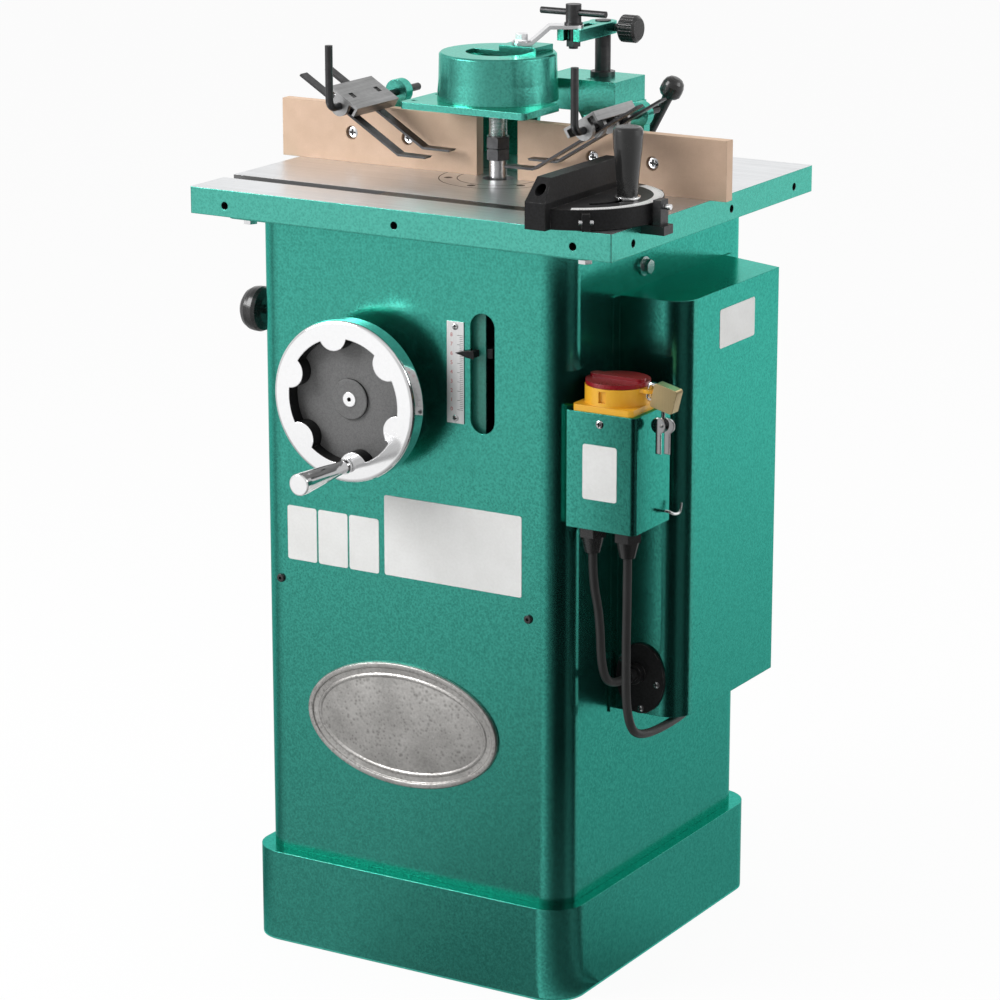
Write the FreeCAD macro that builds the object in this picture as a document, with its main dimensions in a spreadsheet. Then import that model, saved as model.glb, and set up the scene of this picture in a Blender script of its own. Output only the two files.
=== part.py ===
"""Spindle moulder: cabinet, ground table, elevation gear, fence, guard, hold-downs and mitre gauge.

Millimetres. +X right, +Y back, +Z up. The origin is the centre of the plinth on the floor.
Every size is a named value in the Sizes sheet, and every feature is bound to those names.
"""
import FreeCAD, Part
import math
import os

import Sketcher

SIZES = [
    # heights above the flange are counted from the table top, so those below it are minus values
    # table
    ("table_height", 851.0), ("table_width", 518.0), ("table_depth", 457.0), ("table_thick", 29.0),
    ("slot_in", 72.5), ("slot_width", 20.0), ("slot_deep", 10.0),
    ("spindle_y", -17.0), ("insert_radius", 65.0), ("insert_thick", 6.0), ("insert_step", 45.0),
    ("insert_bore", 17.0), ("table_bore", 56.0), ("edge_hole_radius", 4.25), ("edge_hole_deep", 22.0),
    ("edge_hole_in_x", 45.0), ("edge_hole_in_y", 45.5), ("edge_hole_mid_y", 34.0), ("edge_hole_drop", 17.0),
    # stand
    ("plinth_width", 410.0), ("plinth_depth", 438.0), ("plinth_height", 105.0), ("plinth_corner", 38.0),
    ("cabinet_width", 386.0), ("cabinet_depth", 408.0), ("cabinet_corner", 30.0), ("sheet", 3.0),
    ("flange_side", 32.0), ("flange_end", 8.0), ("flange_thick", 5.0), ("flange_border", 50.0),
    ("flange_bolt_x", 18.0), ("flange_bolt_y", 22.0), ("bolt_flats", 14.0), ("bolt_head", 6.0),
    ("side_bolt_y", -39.0), ("side_bolt_z", -73.0),
    ("height_slot_x", 92.7), ("height_slot_width", 29.4), ("height_slot_low", -234.0),
    ("height_slot_high", -105.0), ("scale_x", 60.2), ("scale_width", 20.8), ("scale_low", -226.0),
    ("scale_length", 109.5), ("scale_thick", 1.2), ("pointer_z", -149.0),
    # motor cover, switch, leads
    ("cover_out", 81.0), ("cover_front", -94.0), ("cover_low", -551.0), ("cover_high", -94.0),
    ("cover_back", 148.0), ("cover_slant", 28.0), ("cover_corner", 26.0), ("cover_flange", 14.0),
    ("door_inset", 20.0), ("door_top", 15.0), ("door_front", -76.0), ("door_back", 128.0),
    ("box_out", 80.5), ("box_back", 2.0), ("box_deep", 80.0), ("box_low", -320.0), ("box_tall", 125.0),
    ("dial_out", 40.5), ("dial_back", 36.0), ("dial_plate", 70.0), ("dial_plate_thick", 7.0),
    ("dial_radius", 34.5), ("collar_tall", 20.0), ("disc_tall", 4.5), ("grip_tall", 3.5), ("grip_wide", 13.0),
    ("gland_spread", 41.5), ("gland_out", 39.3), ("gland_back", 24.0), ("gland_radius", 13.0),
    ("gland_long", 31.0), ("lead_radius", 4.7), ("gland_nut", 27.0),
    ("oval_out", 32.5), ("oval_rise", 40.0), ("oval_half_x", 29.0), ("oval_half_z", 39.0),
    ("oval_thick", 4.0),
    ("boss_out", 28.0), ("boss_rise", 46.0), ("boss_radius", 11.0), ("boss_long", 9.0),
    ("nose_long", 17.0), ("nose_lean", 90.0),
    ("grommet_y", -12.0), ("grommet_drop", 9.0), ("grommet_radius", 8.6), ("grommet_long", 5.0),
    ("hook_wire", 1.6), ("hook_back", 57.0), ("hook_rise", 15.0),
    ("lock_width", 26.0), ("lock_tall", 27.0), ("lock_thick", 13.0), ("shackle_wire", 2.4),
    ("eye_out", 5.4), ("eye_front", 7.0), ("shackle_leg", 7.5), ("lock_lean", 14.0),
    ("key_drop", 35.0),
    # elevation gear and drive
    ("wheel_x", -48.0), ("wheel_z", -206.0), ("screw_y", 28.0), ("shaft_radius", 8.0), ("screw_radius", 7.0),
    ("run_gap", 0.05), ("gear_pitch", 20.0), ("gear_face", 11.0), ("gear_teeth", 16.0), ("tooth_tall", 5.4),
    ("column_width", 120.0), ("cheek_front", -44.0), ("cheek_thick", 10.0),
    ("cheek_gap", 20.0), ("lug_wide", 14.0), ("screw_drop", 46.0), ("shield_low_rise", 52.0),
    ("shield_high_rise", 42.0), ("shield_edge", 22.0), ("column_front", 62.0), ("column_thick", 18.0),
    ("column_low", -276.0),
    ("quill_radius", 32.0), ("quill_low", -179.0), ("quill_high", -51.0), ("bearing_radius", 26.0),
    ("bearing_wide", 15.0), ("block_low", -126.0), ("block_high", -61.0), ("block_half", 66.0),
    ("block_front", 4.0), ("slide_gap", 0.3), ("gib_thick", 11.0),
    ("spindle_radius", 9.5), ("spindle_body", 12.0), ("spindle_low", -223.0), ("spindle_top", 69.0),
    ("nut_low", 20.6), ("nut_tall", 12.6), ("nut_flats", 24.0),
    ("pulley_rise", 12.0), ("pulley_tall", 24.0), ("spindle_pulley", 28.0), ("motor_pulley", 57.0),
    ("groove_deep", 7.0), ("belt_wide", 10.0), ("belt_thick", 6.0),
    ("motor_in", 10.0), ("motor_y", 25.0), ("motor_radius", 76.0), ("motor_long", 214.0),
    ("motor_high", -245.0),
    ("plate_thick", 8.0), ("motor_shaft_radius", 9.5),
    ("lock_y", -154.0), ("lock_z", -144.0), ("lock_out", 48.0), ("lock_radius", 25.0),
    ("lock_knob_long", 30.0), ("lock_plate_x", -110.0),
    # handwheel
    ("rim_radius", 87.5), ("rim_inner", 68.0), ("rim_ahead", 52.0), ("rim_wide", 23.0), ("rim_round", 4.0),
    ("lobe_radius", 17.3), ("lobe_reach", 4.0), ("lobe_turn", 40.0), ("lobe_count", 6.0), ("web_in", 16.0),
    ("web_thick", 6.0), ("hub_radius", 22.0), ("hub_rise", 3.0), ("centre_hole", 2.2),
    ("crank_arm", 69.0), ("crank_root", 7.8), ("crank_end", 11.8), ("crank_long", 92.0), ("pin_radius", 4.0),
    # fence
    ("board_high", 64.5), ("board_thick", 13.5), ("board_front", -16.0), ("left_board_x", -281.5),
    ("right_board_x", 24.0), ("board_long", 254.0), ("screw_z", 33.0), ("screw_head", 6.7),
    ("slot_half", 7.7), ("screw_inner", 116.5), ("screw_outer", 189.5), ("board_travel", 20.0),
    ("wing_thick", 10.0), ("wing_low", 2.0), ("wing_high", 59.0), ("wing_out", 232.0), ("wing_in", 62.0),
    ("chamber_half", 105.0), ("chamber_back", 125.0), ("chamber_high", 75.0), ("wall", 7.0),
    ("bracket_high", 102.0), ("bracket_left", 57.0), ("bracket_right", 38.0), ("outlet_radius", 30.0),
    ("roof_set", 60.0), ("post_x", 65.0), ("post_y", 98.0), ("post_radius", 8.7),
    ("lug_radius", 14.0), ("lug_low_y", 17.0), ("lug_long", 13.0),
    ("lever_x", 126.0), ("lever_y", 84.0), ("lever_z", 33.0), ("lever_long", 85.0), ("lever_lean", 27.0),
    ("lever_knob", 12.5),
    # hold-downs
    ("rod_x", 152.0), ("rod_z", 77.0), ("rod_radius", 4.2), ("rod_front", -117.0), ("rod_back", 63.0),
    ("rod_rise", 68.5), ("rod_bend", 10.0), ("channel_wide", 42.0), ("channel_front", -98.0),
    ("channel_back", -15.0), ("channel_cheek", 6.0), ("channel_thick", 3.0), ("channel_clear", 9.0),
    ("finger_slope", 31.5),
    ("finger_wide", 13.0), ("finger_thick", 2.6), ("finger_up", 64.0), ("finger_down", 84.0),
    ("finger_foot", 34.0), ("finger_one", -80.5), ("finger_two", -30.5), ("finger_drop", 6.2),
    # guard
    ("hood_radius", 66.0), ("hood_low", 87.5), ("hood_high", 138.0), ("hood_wall", 5.0), ("hood_eye", 35.0),
    ("shield_half", 78.0), ("shield_front", -93.0), ("shield_back", -16.8), ("shield_low", 80.0),
    ("shield_bore", 57.0), ("shield_corner", 5.0), ("bridge_tall", 6.0), ("link_thick", 4.0),
    ("link_wide", 22.0),
    ("link_flat", 10.0), ("link_rise_end", 31.0), ("arm_rise", 5.0),
    ("link_x", 19.0), ("link_y", 1.0), ("tee_x", 66.0), ("tee_y", 31.0),
    ("arm_thick", 13.0), ("arm_wide", 28.0), ("arm_slot", 12.0), ("sleeve_radius", 8.5),
    ("sleeve_rise", 39.0),
    ("bar_long", 80.0), ("bar_radius", 3.6), ("bar_rise", 30.0), ("knob_radius", 15.0), ("knob_long", 22.0),
    ("knob_stem", 8.0), ("tee_bolt", 5.0),
    # mitre gauge
    ("bar_past", 26.0), ("mitre_bar_long", 345.0), ("bar_clear", 0.3), ("mitre_in", 79.0),
    ("head_half", 97.0),
    ("head_thick", 24.0), ("head_low", 1.0), ("head_end", 28.0), ("head_mid", 50.0), ("head_top", 16.0),
    ("head_chamfer", 25.5), ("quadrant_radius", 88.0), ("quadrant_thick", 21.0), ("handle_reach", 57.0),
    ("handle_low", 23.5), ("handle_high", 97.5), ("handle_foot", 10.6), ("handle_head", 15.8),
    ("stop_past", 12.0), ("stop_tall", 26.0),
]

SHEET_NAME = "Sizes"


class Size(float):
    """A number that also carries the sheet formula it came from."""

    def __new__(cls, value, text):
        made = float.__new__(cls, value)
        made.text = text
        return made

    def __add__(self, other):
        return Size(float(self) + float(other), "(%s + %s)" % (self.text, text_of(other)))

    def __radd__(self, other):
        return Size(float(other) + float(self), "(%s + %s)" % (text_of(other), self.text))

    def __sub__(self, other):
        return Size(float(self) - float(other), "(%s - %s)" % (self.text, text_of(other)))

    def __rsub__(self, other):
        return Size(float(other) - float(self), "(%s - %s)" % (text_of(other), self.text))

    def __mul__(self, other):
        return Size(float(self) * float(other), "(%s * %s)" % (self.text, text_of(other)))

    def __rmul__(self, other):
        return Size(float(other) * float(self), "(%s * %s)" % (text_of(other), self.text))

    def __truediv__(self, other):
        return Size(float(self) / float(other), "(%s / %s)" % (self.text, text_of(other)))

    def __neg__(self):
        return Size(-float(self), "(-1 * %s)" % self.text)


def text_of(value):
    """Gives the formula text of a number, named or plain."""
    return value.text if isinstance(value, Size) else "%.6f" % float(value)


class Names:
    """Holds one Size for each named value."""


doc = FreeCAD.newDocument("SpindleMoulder")
sheet = doc.addObject("Spreadsheet::Sheet", SHEET_NAME)
S = Names()
for row, (alias, value) in enumerate(SIZES, 1):
    sheet.set("A%d" % row, alias)
    sheet.set("B%d" % row, "%s" % value)
    sheet.setAlias("B%d" % row, alias)
    setattr(S, alias, Size(value, "%s.%s" % (SHEET_NAME, alias)))
doc.recompute()

VEC = FreeCAD.Vector
TURN = {
    "Z": FreeCAD.Rotation(),
    "X": FreeCAD.Rotation(VEC(0, 1, 0), 90),
    "Y": FreeCAD.Rotation(VEC(1, 0, 0), -90),
    "-Y": FreeCAD.Rotation(VEC(1, 0, 0), 90),
    "-X": FreeCAD.Rotation(VEC(0, 1, 0), -90),
}
PARTS = {}


def set_size(obj, prop, value):
    """Sets one size property, bound to the sheet when the value is named."""
    setattr(obj, prop, float(value))
    if isinstance(value, Size):
        obj.setExpression(prop, value.text)


def put(obj, at, turn="Z"):
    """Places an object, with each named coordinate bound to the sheet."""
    rotation = TURN[turn] if isinstance(turn, str) else turn
    obj.Placement = FreeCAD.Placement(VEC(*[float(v) for v in at]), rotation)
    for letter, value in zip("xyz", at):
        if isinstance(value, Size):
            obj.setExpression("Placement.Base." + letter, value.text)
    return obj


def keep(label, obj):
    """Names a finished piece and lists it for export."""
    obj.Label = label
    PARTS[label] = obj
    return obj


def box(name, low, size):
    """Makes a block from its low corner and its three sizes."""
    obj = doc.addObject("Part::Box", name)
    for prop, value in zip(("Length", "Width", "Height"), size):
        set_size(obj, prop, value)
    return put(obj, low)


def span(name, xs, ys, zs):
    """Makes a block between two limits on each axis."""
    return box(name, (xs[0], ys[0], zs[0]), (xs[1] - xs[0], ys[1] - ys[0], zs[1] - zs[0]))


def rod(name, at, radius, length, axis="Z"):
    """Makes a cylinder from the centre of its first end."""
    obj = doc.addObject("Part::Cylinder", name)
    set_size(obj, "Radius", radius)
    set_size(obj, "Height", length)
    return put(obj, at, axis)


def cone(name, at, first, last, length, axis="Z"):
    """Makes a tapered rod from the centre of its first end."""
    obj = doc.addObject("Part::Cone", name)
    set_size(obj, "Radius1", first)
    set_size(obj, "Radius2", last)
    set_size(obj, "Height", length)
    return put(obj, at, axis)


def hexagon(name, at, flats, length, axis="Z"):
    """Makes a hexagonal prism from the centre of its first end."""
    obj = doc.addObject("Part::Prism", name)
    obj.Polygon = 6
    set_size(obj, "Circumradius", flats / math.sqrt(3.0))
    set_size(obj, "Height", length)
    return put(obj, at, axis)


def fuse(name, *shapes):
    """Joins shapes into one."""
    obj = doc.addObject("Part::MultiFuse", name)
    obj.Shapes = list(shapes)
    obj.Refine = True
    return obj


def cut(name, base, *tools):
    """Takes every tool away from the base."""
    obj = doc.addObject("Part::Cut", name)
    obj.Base = base
    obj.Tool = tools[0] if len(tools) == 1 else fuse(name + "_tools", *tools)
    return obj


def common(name, first, second):
    """Keeps what two shapes share."""
    obj = doc.addObject("Part::MultiCommon", name)
    obj.Shapes = [first, second]
    return obj


def ring(name, at, outer, inner, length, axis="Z"):
    """Makes a tube."""
    return cut(name, rod(name + "_out", at, outer, length, axis), rod(name + "_in", at, inner, length, axis))


def along(edge, axis):
    """Tells whether an edge is straight and runs along an axis."""
    if not isinstance(edge.Curve, Part.Line):
        return False
    return abs(abs(edge.Curve.Direction.dot(axis)) - 1.0) < 1e-6


def upright(edge):
    """Tells whether an edge stands upright."""
    return along(edge, VEC(0, 0, 1))


def rounded(name, base, radius, pick):
    """Rounds the edges that a test picks."""
    doc.recompute()
    obj = doc.addObject("Part::Fillet", name)
    obj.Base = base
    picked = [i for i, edge in enumerate(base.Shape.Edges, 1) if pick(edge)]
    obj.Edges = [(i, float(radius), float(radius)) for i in picked]
    return obj


def outline(body, role, name, points):
    """Draws a closed outline on one of a body's own planes, each corner held by two named distances."""
    plane = next(f for f in body.Origin.OriginFeatures if f.Role == role)
    sketch = body.newObject("Sketcher::SketchObject", name)
    sketch.AttachmentSupport = [(plane, "")]
    sketch.MapMode = "FlatFace"
    count = len(points)
    for i in range(count):
        here = VEC(float(points[i][0]), float(points[i][1]), 0)
        there = VEC(float(points[(i + 1) % count][0]), float(points[(i + 1) % count][1]), 0)
        sketch.addGeometry(Part.LineSegment(here, there))
    for i in range(count):
        sketch.addConstraint(Sketcher.Constraint("Coincident", i, 2, (i + 1) % count, 1))
    for i, point in enumerate(points):
        for kind, value in zip(("DistanceX", "DistanceY"), point):
            index = sketch.addConstraint(Sketcher.Constraint(kind, i, 1, float(value)))
            if isinstance(value, Size):
                sketch.setExpression("Constraints[%d]" % index, value.text)
    return sketch


def soften(body, base, radius, pick):
    """Rounds picked edges of a body's last feature."""
    doc.recompute()
    names = ["Edge%d" % i for i, edge in enumerate(base.Shape.Edges, 1) if pick(edge)]
    feature = body.newObject("PartDesign::Fillet", body.Name + "_round")
    feature.Base = (base, names)
    set_size(feature, "Radius", radius)
    return feature


def pad(name, role, points, length, at, radius=None, pick=upright):
    """Makes a body by padding an outline, with its picked edges rounded."""
    body = doc.addObject("PartDesign::Body", name)
    sketch = outline(body, role, name + "_outline", points)
    feature = body.newObject("PartDesign::Pad", name + "_pad")
    feature.Profile = sketch
    set_size(feature, "Length", length)
    if radius is not None:
        soften(body, feature, radius, pick)
    return put(body, at)


def turned(name, points, at, axis="Z", radius=None, pick=None):
    """Makes a body by turning an outline of radii and heights about its axis."""
    body = doc.addObject("PartDesign::Body", name)
    sketch = outline(body, "XZ_Plane", name + "_outline", points)
    feature = body.newObject("PartDesign::Revolution", name + "_turn")
    feature.Profile = sketch
    feature.ReferenceAxis = (sketch, ["V_Axis"])
    feature.Angle = 360
    if radius is not None:
        soften(body, feature, radius, pick)
    return put(body, at, axis)


def round_block(name, width, depth, low, height, corner):
    """Makes an upright block with rounded corners, centred on the origin in plan."""
    points = [(-width / 2, -depth / 2), (width / 2, -depth / 2), (width / 2, depth / 2),
              (-width / 2, depth / 2)]
    return pad(name, "XY_Plane", points, height, (0, 0, low), corner)


def obround(name, xs, ys, zs):
    """Makes an upright-slot cutter along Y: a block between two round ends at its low and high limits."""
    half = (xs[1] - xs[0]) / 2
    middle = (xs[0] + xs[1]) / 2
    block = span(name + "_mid", xs, ys, (zs[0] + half, zs[1] - half))
    low = rod(name + "_low", (middle, ys[0], zs[0] + half), half, ys[1] - ys[0], "Y")
    high = rod(name + "_high", (middle, ys[0], zs[1] - half), half, ys[1] - ys[0], "Y")
    return fuse(name, block, low, high)


def side_slot(name, middle, half, travel, at_z, ys):
    """Makes a sideways slot cutter along Y, round at both ends, for a screw that slides."""
    block = span(name + "_mid", (middle - travel, middle + travel), ys, (at_z - half, at_z + half))
    ends = [rod(name + "_" + tag, (middle + step, ys[0], at_z), half, ys[1] - ys[0], "Y")
            for tag, step in (("a", -travel), ("b", travel))]
    return fuse(name, block, *ends)


def sweep(points, radius, reach_part=0.45):
    """Sweeps a circle along straight runs joined by tangent arcs.

    Gives the solid, the length of its middle line and the radius of each bend.
    """
    vectors = [VEC(*[float(v) for v in p]) for p in points]
    edges = []
    radii = []
    last = vectors[0]
    for before, corner, after in zip(vectors, vectors[1:], vectors[2:]):
        back = (before - corner)
        ahead = (after - corner)
        reach = reach_part * min(back.Length, ahead.Length)
        turn = math.pi - back.getAngle(ahead)
        bend = reach / math.tan(turn / 2.0)
        radii.append(bend)
        back.normalize()
        ahead.normalize()
        start = corner + back * reach
        stop = corner + ahead * reach
        inward = (back + ahead).normalize()
        middle = corner + inward * (bend / math.cos(turn / 2.0) - bend)
        edges.append(Part.LineSegment(last, start).toShape())
        edges.append(Part.Arc(start, middle, stop).toShape())
        last = stop
    edges.append(Part.LineSegment(last, vectors[-1]).toShape())
    wire = Part.Wire(edges)
    section = Part.Wire([Part.Circle(vectors[0], vectors[1] - vectors[0], float(radius)).toShape()])
    return wire.makePipeShell([section], True, False), wire.Length, radii


def cord(label, points, radius):
    """Makes a round cord and reports its bends."""
    solid, length, radii = sweep(points, radius)
    expected = math.pi * float(radius) ** 2 * length
    print("cord %s: length %.1f, radii %s, volume ratio %.4f"
          % (label, length, ["%.0f" % r for r in radii], solid.Volume / expected))
    obj = doc.addObject("Part::Feature", label)
    obj.Shape = solid
    return keep(label, obj)


def wire(name, points, radius):
    """Makes a bent wire."""
    obj = doc.addObject("Part::Feature", name)
    obj.Shape = sweep(points, radius)[0]
    return obj


class Heights:
    """Gives a height that the sheet counts from the table top."""

    def __getattr__(self, alias):
        return S.table_height + getattr(S, alias)


T = Heights()
TABLE_LOW = S.table_height - S.table_thick
FLANGE_LOW = TABLE_LOW - S.flange_thick
WALL_X = S.cabinet_width / 2
FRONT_Y = -S.cabinet_depth / 2
BOARD_BACK = S.board_front + S.board_thick
BOARD_TOP = S.table_height + S.board_high
BOX_FRONT = FRONT_Y + S.box_back
DIAL_X = WALL_X + S.dial_out
DIAL_Y = BOX_FRONT + S.dial_back
GLAND_X = WALL_X + S.gland_out
GLAND_Y = BOX_FRONT + S.gland_back
HOOK_Y = BOX_FRONT + S.hook_back
HOOK_Z = T.box_low + S.hook_rise
OVAL_X = WALL_X + S.oval_out
OVAL_Z = T.cover_low + S.oval_rise
BOSS_X = WALL_X + S.boss_out
BOSS_Z = T.cover_low + S.boss_rise
GROMMET_Z = T.cover_low - S.grommet_drop
PULLEY_LOW = T.spindle_low + S.pulley_rise
MOTOR_X = WALL_X - S.motor_in
MOTOR_LOW = T.motor_high - S.motor_long
RIM_FRONT = FRONT_Y - S.rim_ahead
LINK_LOW = T.hood_high + S.bridge_tall
ARM_LOW = LINK_LOW + S.arm_rise
ARM_TOP = ARM_LOW + S.arm_thick
MITRE_X = S.table_width / 2 - S.mitre_in
SLOT_Y = S.slot_in - S.table_depth / 2


def build_stand():
    """Builds the plinth, cabinet shell, mounting frame, bolts and scale plate."""
    outer = round_block("plinth_outer", S.plinth_width, S.plinth_depth, 0.0, S.plinth_height, S.plinth_corner)
    inner = round_block("plinth_inner", S.plinth_width - 2 * S.sheet, S.plinth_depth - 2 * S.sheet, S.sheet,
                        S.plinth_height - 2 * S.sheet, S.plinth_corner - S.sheet)
    mouth = round_block("plinth_mouth", S.cabinet_width - 40.0, S.cabinet_depth - 40.0,
                        S.plinth_height - 2 * S.sheet, 3 * S.sheet, S.cabinet_corner)
    keep("plinth", cut("plinth_cut", outer, inner, mouth))

    high = FLANGE_LOW - S.plinth_height
    skin = round_block("cabinet_outer", S.cabinet_width, S.cabinet_depth, S.plinth_height, high,
                       S.cabinet_corner)
    hollow = round_block("cabinet_inner", S.cabinet_width - 2 * S.sheet, S.cabinet_depth - 2 * S.sheet,
                         S.plinth_height - 1.0, high + 2.0, S.cabinet_corner - S.sheet)
    half = S.height_slot_width / 2
    slot = obround("height_slot", (S.height_slot_x - half, S.height_slot_x + half),
                   (FRONT_Y - 5, FRONT_Y + 12),
                   (T.height_slot_low, T.height_slot_high))
    shaft = rod("shaft_hole", (S.wheel_x, FRONT_Y - 5, T.wheel_z), S.shaft_radius + 6, 17.0, "Y")
    knob = rod("knob_hole", (-WALL_X - 5, S.lock_y, T.lock_z), 5.6, 17.0, "X")
    door = span("motor_door", (WALL_X - 12, WALL_X + 5), (S.door_front, S.door_back),
                (T.cover_low + S.door_inset, T.cover_high - S.door_top))
    lead = rod("lead_hole", (WALL_X - 9, S.grommet_y, GROMMET_Z), S.grommet_radius - 3, 17.0, "X")
    bolt = rod("bolt_hole", (WALL_X - 9, S.side_bolt_y, T.side_bolt_z), 3.6, 17.0, "X")
    walls = cut("cabinet_cut", skin, hollow, slot, shaft, knob, door, lead, bolt)

    wide = S.cabinet_width + 2 * S.flange_side
    deep = S.cabinet_depth + 2 * S.flange_end
    plate = round_block("frame_plate", wide, deep, FLANGE_LOW, S.flange_thick, 12.0)
    gap = round_block("frame_gap", wide - 3 * S.flange_border, deep - 2 * S.flange_border,
                      FLANGE_LOW - 1, S.flange_thick + 2, 12.0)
    keep("cabinet_shell", fuse("cabinet_all", walls, cut("frame_cut", plate, gap)))

    heads = []
    for i, (sx, sy) in enumerate(((-1, -1), (1, -1), (1, 1), (-1, 1))):
        at = (sx * (wide / 2 - S.flange_bolt_x), sy * (deep / 2 - S.flange_bolt_y))
        heads.append(rod("bolt_washer%d" % i, (at[0], at[1], FLANGE_LOW - 1.6), S.bolt_flats * 0.62, 1.6))
        heads.append(hexagon("bolt_head%d" % i, (at[0], at[1], FLANGE_LOW - 1.6 - S.bolt_head), S.bolt_flats,
                             S.bolt_head))
    washer = rod("side_washer", (WALL_X, S.side_bolt_y, T.side_bolt_z), S.bolt_flats * 0.75, 2.0, "X")
    head = hexagon("side_head", (WALL_X + 2, S.side_bolt_y, T.side_bolt_z), S.bolt_flats, S.bolt_head + 1,
                   "X")
    stem = rod("side_stem", (WALL_X - S.sheet, S.side_bolt_y, T.side_bolt_z), 3.6, S.sheet, "X")
    keep("frame_bolts", fuse("frame_bolts_all", washer, head, stem, *heads))

    keep("scale_plate", box("scale_plate_box", (S.scale_x - S.scale_width / 2, FRONT_Y - S.scale_thick,
                                                T.scale_low),
                            (S.scale_width, S.scale_thick, S.scale_length)))


def build_table():
    """Builds the table with its slot, stepped bore and edge holes, and the two insert rings."""
    slab = box("table_slab", (-S.table_width / 2, -S.table_depth / 2, TABLE_LOW),
               (S.table_width, S.table_depth, S.table_thick))
    slab = rounded("table_round", slab, 2.0, upright)
    slot = span("mitre_slot", (-S.table_width / 2 - 5, S.table_width / 2 + 5),
                (SLOT_Y - S.slot_width / 2, SLOT_Y + S.slot_width / 2),
                (S.table_height - S.slot_deep, S.table_height + 5))
    seat = rod("insert_seat", (0, S.spindle_y, S.table_height - S.insert_thick), S.insert_radius, 20.0)
    bore = rod("table_bore", (0, S.spindle_y, TABLE_LOW - 5), S.table_bore, S.table_thick + 10)
    tools = [slot, seat, bore]
    hole_z = S.table_height - S.edge_hole_drop
    hole_x = S.table_width / 2 - S.edge_hole_in_x
    hole_y = S.table_depth / 2 - S.edge_hole_in_y
    for i, place in enumerate((-hole_x, 0.0, hole_x)):
        for tag, side in (("f", -1), ("b", 1)):
            start = -S.table_depth / 2 - 5 if side < 0 else S.table_depth / 2 - S.edge_hole_deep
            tools.append(rod("hole_%s%d" % (tag, i), (place, start, hole_z), S.edge_hole_radius,
                             S.edge_hole_deep + 5, "Y"))
    for i, place in enumerate((-hole_y, S.edge_hole_mid_y, hole_y)):
        for tag, side in (("l", -1), ("r", 1)):
            start = -S.table_width / 2 - 5 if side < 0 else S.table_width / 2 - S.edge_hole_deep
            tools.append(rod("hole_%s%d" % (tag, i), (start, place, hole_z), S.edge_hole_radius,
                             S.edge_hole_deep + 5, "X"))
    keep("table", cut("table_cut", slab, *tools))
    low = S.table_height - S.insert_thick
    outer = ring("insert_outer_ring", (0, S.spindle_y, low), S.insert_radius, S.insert_step, S.insert_thick)
    inner = ring("insert_inner_ring", (0, S.spindle_y, low), S.insert_step - 0.15, S.insert_bore,
                 S.insert_thick)
    keep("table_insert", fuse("table_insert_all", outer, inner))


def cover_block(name, inset, low, high):
    """Makes the motor cover's block, drawn in by an inset, with its front corner rounded."""
    out = WALL_X + S.cover_out - inset
    front = S.cover_front + inset
    points = [(WALL_X, front), (out, front), (out, S.cover_back - S.cover_slant - inset),
              (WALL_X, S.cover_back - inset)]

    def front_corner(edge):
        at = edge.Vertexes[0].Point
        return upright(edge) and at.x > float(WALL_X) + 1 and at.y < float(front) + 1

    return pad(name, "XY_Plane", points, high - low, (0, 0, low), S.cover_corner - inset, front_corner)


def nose_way():
    """Gives the direction the lead cover's connector points, up and to the front."""
    lean = math.radians(float(S.nose_lean))
    return VEC(0, -math.sin(lean), math.cos(lean))


def connector_end():
    """Gives the middle of the connector's mouth."""
    way = nose_way()
    return (BOSS_X, S.cover_front - S.oval_thick - 4 + S.nose_long * way.y, BOSS_Z + S.nose_long * way.z)


def build_motor_cover():
    """Builds the motor cover with its wall flanges, and the oval lead cover on its front wall."""
    shell = cover_block("cover_outer", 0.0, T.cover_low, T.cover_high)
    hollow = cover_block("cover_inner", S.sheet * 0.7, T.cover_low + S.sheet, T.cover_high - S.sheet)
    lips = [span("lip_front", (WALL_X, WALL_X + 2), (S.cover_front - S.cover_flange, S.cover_front + 1),
                 (T.cover_low, T.cover_high)),
            span("lip_back", (WALL_X, WALL_X + 2), (S.cover_back - 2, S.cover_back + S.cover_flange),
                 (T.cover_low, T.cover_high))]
    keep("motor_cover", fuse("cover_all", cut("cover_cut", shell, hollow), *lips))

    front = S.cover_front - S.oval_thick
    disc = doc.addObject("Part::Ellipse", "oval_edge")
    set_size(disc, "MajorRadius", S.oval_half_z)
    set_size(disc, "MinorRadius", S.oval_half_x)
    put(disc, (OVAL_X, S.cover_front, OVAL_Z), FreeCAD.Rotation(VEC(0, 1, 0), -90).multiply(
        FreeCAD.Rotation(VEC(1, 0, 0), 90)))
    plate = doc.addObject("Part::Extrusion", "oval_plate")
    plate.Base = disc
    plate.DirMode = "Custom"
    plate.Dir = VEC(0, -1, 0)
    set_size(plate, "LengthFwd", S.oval_thick)
    plate.Solid = True
    boss = rod("oval_boss", (BOSS_X, front - S.boss_long, BOSS_Z), S.boss_radius, S.boss_long + 1, "Y")
    nose = rod("oval_nose", (BOSS_X, S.cover_front - S.oval_thick, BOSS_Z), S.lead_radius + 2.4, S.nose_long)
    put(nose, (BOSS_X, front - 4, BOSS_Z), FreeCAD.Rotation(VEC(0, 0, 1), nose_way()))
    keep("lead_cover", fuse("lead_cover_all", plate, boss, nose))


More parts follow.
